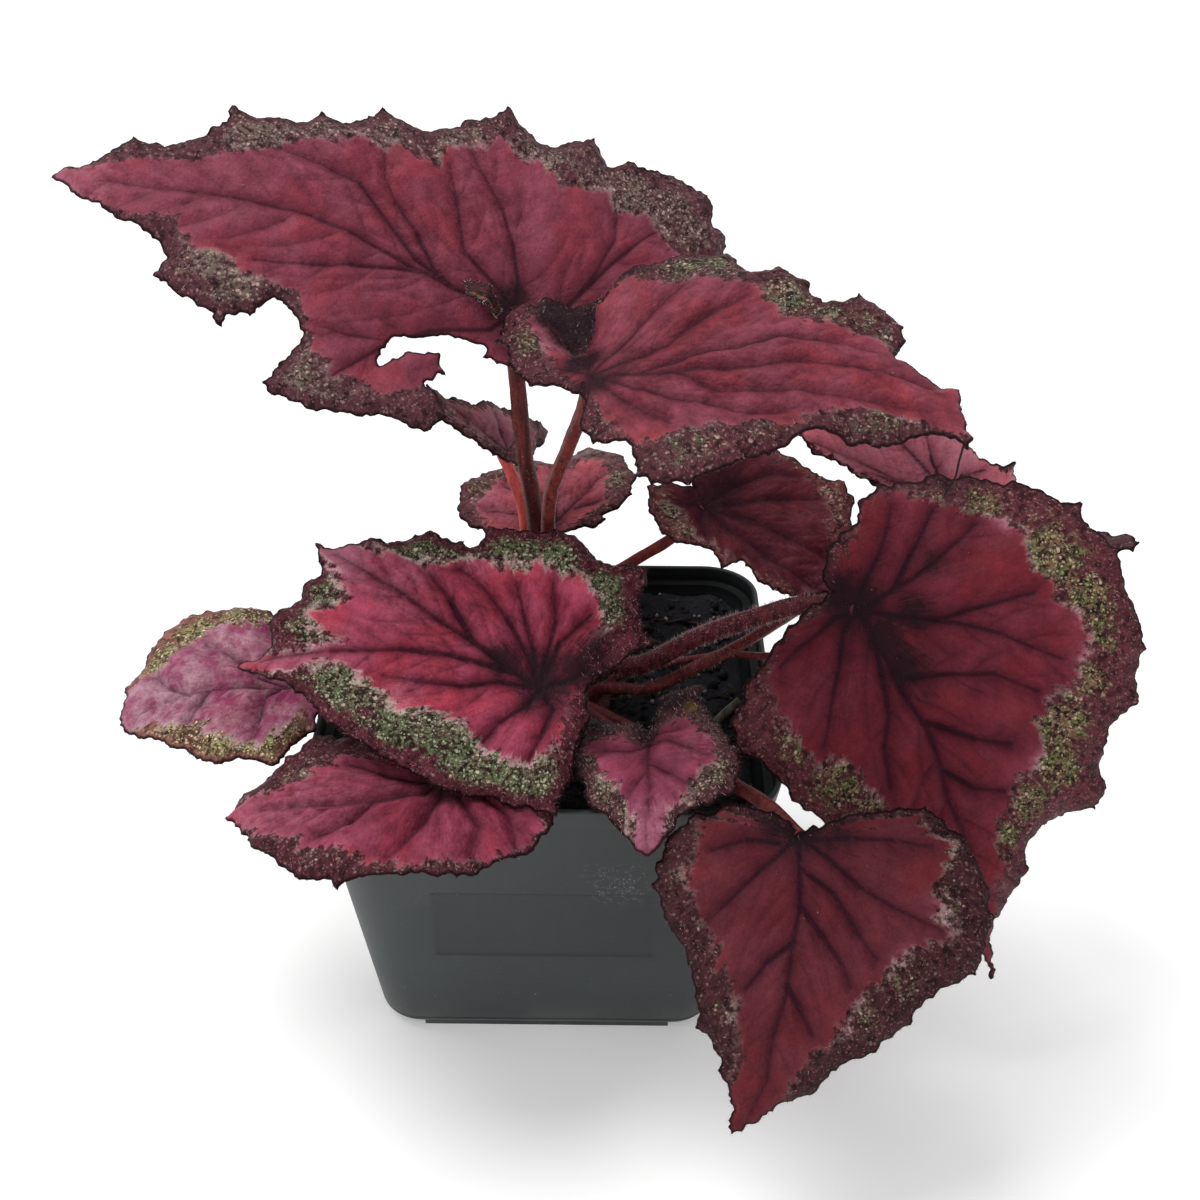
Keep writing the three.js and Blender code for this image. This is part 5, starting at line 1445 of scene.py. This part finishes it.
def potMesh():
    bm = bmesh.new()
    levels = potProfile()
    outerBase, outerEdges = ringAt(bm, squareRing(*levels[0]))
    ring, edges = outerBase, outerEdges
    for half, z in levels[1:]:
        ring, edges = nextRing(bm, ring, edges)
        for v, point in zip(ring, squareRing(half, z)):
            v.co = Vector(point) * mm
    wide, reach, low = pot["footWidth"] / 2, pot["footReach"], pot["footHeight"]
    quarter = [(reach, -wide), (reach, wide), (wide, wide)]
    plus = [(x * math.cos(a) - y * math.sin(a), x * math.sin(a) + y * math.cos(a), low)
            for a in (math.pi / 2 * k for k in range(4)) for x, y in quarter]
    foot, footEdges = ringAt(bm, plus)
    bmesh.ops.triangle_fill(bm, edges=outerEdges + footEdges, use_beauty=True, normal=(0, 0, -1))
    foot, footEdges = nextRing(bm, foot, footEdges)
    bmesh.ops.translate(bm, verts=foot, vec=(0, 0, -low * mm))
    underEdges, floorEdges = list(footEdges), list(edges)
    for x, y in quarters:
        turns = [2 * math.pi * k / pot["holeSides"] for k in range(pot["holeSides"])]
        hole, holeEdges = ringAt(bm, [(pot["holeOffset"] * x + pot["holeRadius"] * math.cos(turn),
                                       pot["holeOffset"] * y + pot["holeRadius"] * math.sin(turn), 0)
                                      for turn in turns])
        underEdges += holeEdges
        hole, holeEdges = nextRing(bm, hole, holeEdges)
        bmesh.ops.translate(bm, verts=hole, vec=(0, 0, (low + pot["floor"]) * mm))
        floorEdges += holeEdges
    bmesh.ops.triangle_fill(bm, edges=underEdges, use_beauty=True, normal=(0, 0, -1))
    bmesh.ops.triangle_fill(bm, edges=floorEdges, use_beauty=True, normal=(0, 0, 1))
    bmesh.ops.recalc_face_normals(bm, faces=bm.faces)
    pressLabel(bm)
    for face in bm.faces:   # the inside takes the second material
        middle = face.calc_center_median()
        onFloor = middle.z < (low + pot["floor"] + 1) * mm < middle.z + mm
        inwards = face.normal.xy.dot(middle.xy) < 0 or onFloor
        face.material_index = 1 if inwards and middle.z > (low + 1) * mm else 0
    for edge in bm.edges:
        edge.smooth = edge.calc_face_angle(0) < math.radians(pot["hardEdge"])
    return meshFrom("pot", bm)


def pressLabel(bm):   # the bare panel pressed into the front
    half = pot["labelWidth"] / 2

    def front():
        return [f for f in bm.faces if f.normal.y < -0.9 and f.calc_center_median().y < -0.03
                and f.calc_center_median().z > 0.01]

    for place, across in (((half, 0, 0), (1, 0, 0)), ((-half, 0, 0), (1, 0, 0)),
                          ((0, 0, pot["labelLow"]), (0, 0, 1)), ((0, 0, pot["labelHigh"]), (0, 0, 1))):
        faces = front()
        geom = faces + list({e for f in faces for e in f.edges}) + list({v for f in faces for v in f.verts})
        bmesh.ops.bisect_plane(bm, geom=geom, dist=1e-6, plane_co=Vector(place) * mm, plane_no=across)
    panel = [f for f in front() if abs(f.calc_center_median().x) < half * mm
             and pot["labelLow"] * mm < f.calc_center_median().z < pot["labelHigh"] * mm]
    bmesh.ops.inset_region(bm, faces=panel, thickness=pot["labelSlope"] * mm, depth=-pot["labelDepth"] * mm)


def potFinish(name, tint=1.0):   # a tint below 1 is for the shaded inside
    finish = Finish(name, Specular_IOR_Level=0.42 * tint ** 4)
    x, y, z = finish.axes()
    cloud, streak = finish.noise(24, 3, 0.6), finish.noise(3.0, 3, 0.6, finish.stretched((1, 1, 0.10)))
    fine = finish.noise(0.35, 2, 0.6)
    base = finish.mix((cloud * 1.2 - 0.1).clamped(), *potTones["plastic"])
    base = finish.mix(streak.rise(0.55, 0.75) * 0.12, base, potTones["streak"])
    # paler streaks down the rounded corners: a painted highlight
    corner = (abs(x) + abs(y)).rise(0.070, 0.086)
    base = finish.mix(corner * streak.rise(0.3, 0.6) * 0.12, base, potTones["corner"])
    base = finish.mix(z.rise(0.012, 0.0) * cloud.rise(0.35, 0.6) * 0.4, base, potTones["splash"])
    dust, _ = finish.specks(2.2, -0.2, 0.14)
    base = finish.mix(dust * 0.6, base, potTones["dust"])
    scuff = finish.noise(1.1, 4, 0.75, finish.stretched((0.3, 1, 1)))
    base = finish.mix(scuff.rise(0.64, 0.74) * 0.25, base, potTones["rub"])

    # the front: painted shadow lines along the label panel's edges, its floor, painted shadow of the leaves
    # to the right, and a patch of fine scratches
    half, low, high = pot["labelWidth"] / 2, pot["labelLow"], pot["labelHigh"]
    front = y.rise(-0.03, -0.04)
    along = abs(x).rise((half + 0.5) * mm, (half - 0.5) * mm) * front
    # painted shadow under the panel's upper edge, and fainter along its lower edge
    panelShadowLine = abs(z - (high - 0.3) * mm).rise(0.0006, 0.0002)
    panelShadowLine = panelShadowLine + abs(z - (low + 0.3) * mm).rise(0.0005, 0.0001) * 0.4
    base = finish.mix(panelShadowLine * along * 0.9, base, potTones["line"])
    panel = abs(z - (low + high) / 2 * mm).rise(0.0102, 0.0096) * along
    base = finish.mix(panel * (streak * 0.5), base, potTones["panel"])
    # painted shadow of the leaves over the upper right of the pot
    leafShadow = x.rise(-0.025, 0.03) * z.rise(0.012, 0.045)
    base = finish.mix(leafShadow * 0.75, base, potTones["leafShadow"])
    (across, wide), (height, tall) = pot["scuffs"]
    rubbed = abs(x - across * mm).rise(wide * mm, 0.004) * front
    rubbed = rubbed * abs(z - height * mm).rise(tall * mm, 0.004)
    hair = abs(finish.noise(3.2, 3, 0.6, finish.stretched((1, 1, 1.7))) - 0.5).rise(0.014, 0.004)
    base = finish.mix(hair * rubbed * fine.rise(0.46, 0.56) * 0.6, base, potTones["scratch"])

    # painted shade on the inside: its ledge darkened, then all of it
    ledge = (pot["height"] - pot["rimBand"] + pot["wall"]) * mm
    base = finish.mix(abs(z - ledge).rise(0.0022, 0.0008) * (1 - tint) * 2.4, base, potTones["ledge"])
    base = finish.mix(1.0, base, (tint, tint, tint, 1.0), "MULTIPLY")
    return finish.done(base, 0.46 + (cloud - 0.5) * 0.3 + (fine - 0.5) * 0.2,
                       finish.bump(fine * 0.5 + scuff * 0.4 + cloud, 0.12))


# the inside's copy is the darker one, with painted shade
potSkins = [potFinish("potPlastic"), potFinish("potInsideShaded", pot["insideShade"])]
finished("nurseryPot", potMesh(), potSkins, "pot_plastic", "nursery_pot")
print("pot")

# Peat-based mix, with lumps, fibres and a little perlite
soil = {
    "level": 63.5, "cell": 1.2, "gap": 0.35, "depth": 59, "mound": 1.6, "bank": 5.5, "bankFrom": 18,
    "rough": ((1.0, 7, 1), (0.7, 2.4, 5), (0.35, 1.1, 9)),   # height, wave and seed
    "whiteBits": [(660, 595), (694, 617), (699, 617), (666, 620), (650, 628)],   # photo pixels
}
soilTones = {   # darkest, lightest, grit
    "peat": ((12, 13, 17), (50, 50, 57), (138, 136, 136)),
    "paleCrumb": ((30, 34, 38), (96, 100, 102), (150, 150, 148)),
    "fibre": ((50, 42, 38), (84, 72, 64), (112, 100, 90)),
    "perliteGrain": ((146, 143, 136), (214, 211, 205), (118, 112, 104)),
}
grains = {   # count, size, flatness, how far it stands out of the mix, and its finish
    "peatLumps": (900, (0.5, 2.1), (0.5, 0.9), 0.1, "peat"),
    "paleCrumbs": (1700, (0.2, 0.75), (0.4, 1.0), 0.4, "paleCrumb"),
    "peatFibres": (160, (1.6, 4.0), (0.08, 0.16), 0.06, "fibre"),
    "perlite": (110, (0.4, 1.0), (0.55, 0.95), 0.45, "perliteGrain"),
}


def soilHeight(x, y):   # rough, mounded round the crown, heaped against the back wall, low along the rim
    rough = sum(high * noise.noise(Vector((x / wave, y / wave, seed))) for high, wave, seed in soil["rough"])
    edge = max(abs(x), abs(y)) / (outerHalf(soil["level"]) - pot["wall"])
    mound = soil["mound"] * math.exp(-((x + 1) ** 2 + (y - 2) ** 2) / 480)
    mound += soil["bank"] * max(0, (y - soil["bankFrom"]) / 28) ** 1.4
    return soil["level"] + rough + mound - 1.8 * max(0, edge - 0.8) / 0.2


def onSoil(pixel):
    line = sightLines([pixel])[0]
    z = soil["level"]
    for _ in range(12):
        x, y = (eye + line * (z - eye[2]) / line[2])[:2]
        z = (z + soilHeight(x, y)) / 2
    return x, y


def soilMesh():
    half = outerHalf(soil["level"]) - pot["wall"] - soil["gap"]
    bm = cutSheet(np.array(squareRing(half, soil["level"]))[:, :2], soil["cell"])
    rim = [e for e in bm.edges if e.is_boundary]
    low = bmesh.ops.extrude_edge_only(bm, edges=rim)["geom"]
    deep = soil["level"] - soil["depth"]
    shrink = (outerHalf(deep) - pot["wall"] - soil["gap"] - pot["floorRound"]) / half
    sunk = {v for v in low if isinstance(v, bmesh.types.BMVert)}
    for v in bm.verts:
        x, y = v.co.x, v.co.y
        z = deep if v in sunk else soilHeight(x, y)
        share = shrink if v in sunk else 1
        v.co = Vector((x * share, y * share, z)) * mm
    bmesh.ops.edgeloop_fill(bm, edges=[e for e in low if isinstance(e, bmesh.types.BMEdge)])
    bmesh.ops.recalc_face_normals(bm, faces=bm.faces)
    return meshFrom("soil", bm)


def scattered(name, count, sizes, flatness, lift, chosen=()):   # rough crumbs on the soil
    bm = bmesh.new()
    half = outerHalf(soil["level"]) - 4
    for k in range(count):
        x, y = chosen[k] if k < len(chosen) else (dice.uniform(-half, half), dice.uniform(-half, half))
        size = dice.uniform(*sizes) * dice.uniform(0.6, 1)
        turn = Quaternion([dice.gauss(0, 1) for _ in range(4)]).normalized().to_matrix().to_4x4()
        shape = Matrix.Diagonal((size, size * dice.uniform(*flatness), size * dice.uniform(*flatness), 1))
        place = Matrix.Translation(Vector((x, y, soilHeight(x, y) + size * lift)) * mm)
        bmesh.ops.create_icosphere(bm, subdivisions=1, radius=mm, matrix=place @ turn @ shape)
    for v in bm.verts:
        v.co *= 1 + 0.006 * noise.noise(v.co / mm * 2.1)
    return meshFrom(name, bm)


def soilFinish(name, low, high, grit):
    finish = Finish(name, Specular_IOR_Level=0.25)
    patch, fine = finish.noise(2.6, 4, 0.7), finish.noise(0.5, 4, 0.75)
    base = finish.mix((patch * 1.4 - 0.2).clamped(), low, high)
    base = finish.mix(fine.rise(0.6, 0.78) * 0.6, base, grit)
    return finish.done(base, 0.8 + (fine - 0.5) * 0.3, finish.bump(patch + fine * 1.4, 0.9))


soilSkins = {name: soilFinish(name, *tones) for name, tones in soilTones.items()}
finished("pottingSoil", soilMesh(), [soilSkins["peat"]], "potting_mix", "potting_soil")
for name, (count, sizes, flatness, lift, skin) in grains.items():
    chosen = [onSoil(pixel) for pixel in soil["whiteBits"]] if name == "perlite" else ()
    mesh = scattered(name, count, sizes, flatness, lift, chosen)
    finished(name, mesh, [soilSkins[skin]], "potting_mix")
print("soil")

# Camera, floor and light
studio = {
    "world": ((0.97, 0.98, 1.0, 1.0), 0.53),
    "suns": {   # where from, width in degrees, strength, colour
        "overhead": ((-0.4, 0.15, 1.0), 32, 1.95, (1.0, 0.99, 0.97)),
        "front": ((-0.3, -1.0, 1.0), 70, 0.52, (1.0, 0.99, 0.98)),
    },
    "floor": 90, "glow": 0.22, "paper": ((240, 240, 240), (245, 245, 245)),
}


def setCamera():
    camera = bpy.data.objects.new("Camera", bpy.data.cameras.new("Camera"))
    bpy.context.scene.collection.objects.link(camera)
    camera.data.sensor_width = photo["sensor"]
    camera.data.lens = photo["focal"] / (2 * photo["middle"]) * photo["sensor"]
    camera.data.clip_start, camera.data.clip_end = photo["clip"]
    axes = Matrix((right, up, -look)).transposed()
    camera.matrix_world = Matrix.Translation(Vector(photo["eye"]) * mm) @ axes.to_4x4()
    bpy.context.scene.camera = camera


def setStudio():
    bm = bmesh.new()
    bmesh.ops.create_grid(bm, x_segments=2, y_segments=2, size=studio["floor"])
    floor = bpy.data.objects.new("floor", meshFrom("floor", bm))
    bpy.context.scene.collection.objects.link(floor)
    paper = Finish("paper", Roughness=0.9, Specular_IOR_Level=0.1, Emission_Strength=studio["glow"])
    floor.data.materials.append(paper.done(paper.mix(paper.noise(400, 2), *studio["paper"])))
    world = bpy.data.worlds.new("studio")
    world.use_nodes = True
    sky = world.node_tree.nodes["Background"].inputs
    sky["Color"].default_value, sky["Strength"].default_value = studio["world"]
    bpy.context.scene.world = world
    for name, (source, width, strength, tint) in studio["suns"].items():
        lamp = bpy.data.objects.new(name, bpy.data.lights.new(name, "SUN"))
        bpy.context.scene.collection.objects.link(lamp)
        lamp.data.angle, lamp.data.energy, lamp.data.color = math.radians(width), strength, tint
        lamp.rotation_euler = (Vector(source) * -1).to_track_quat("-Z", "Y").to_euler()
    bpy.context.scene.view_settings.view_transform = "Standard"


setCamera()
setStudio()
print("camera, floor and light")
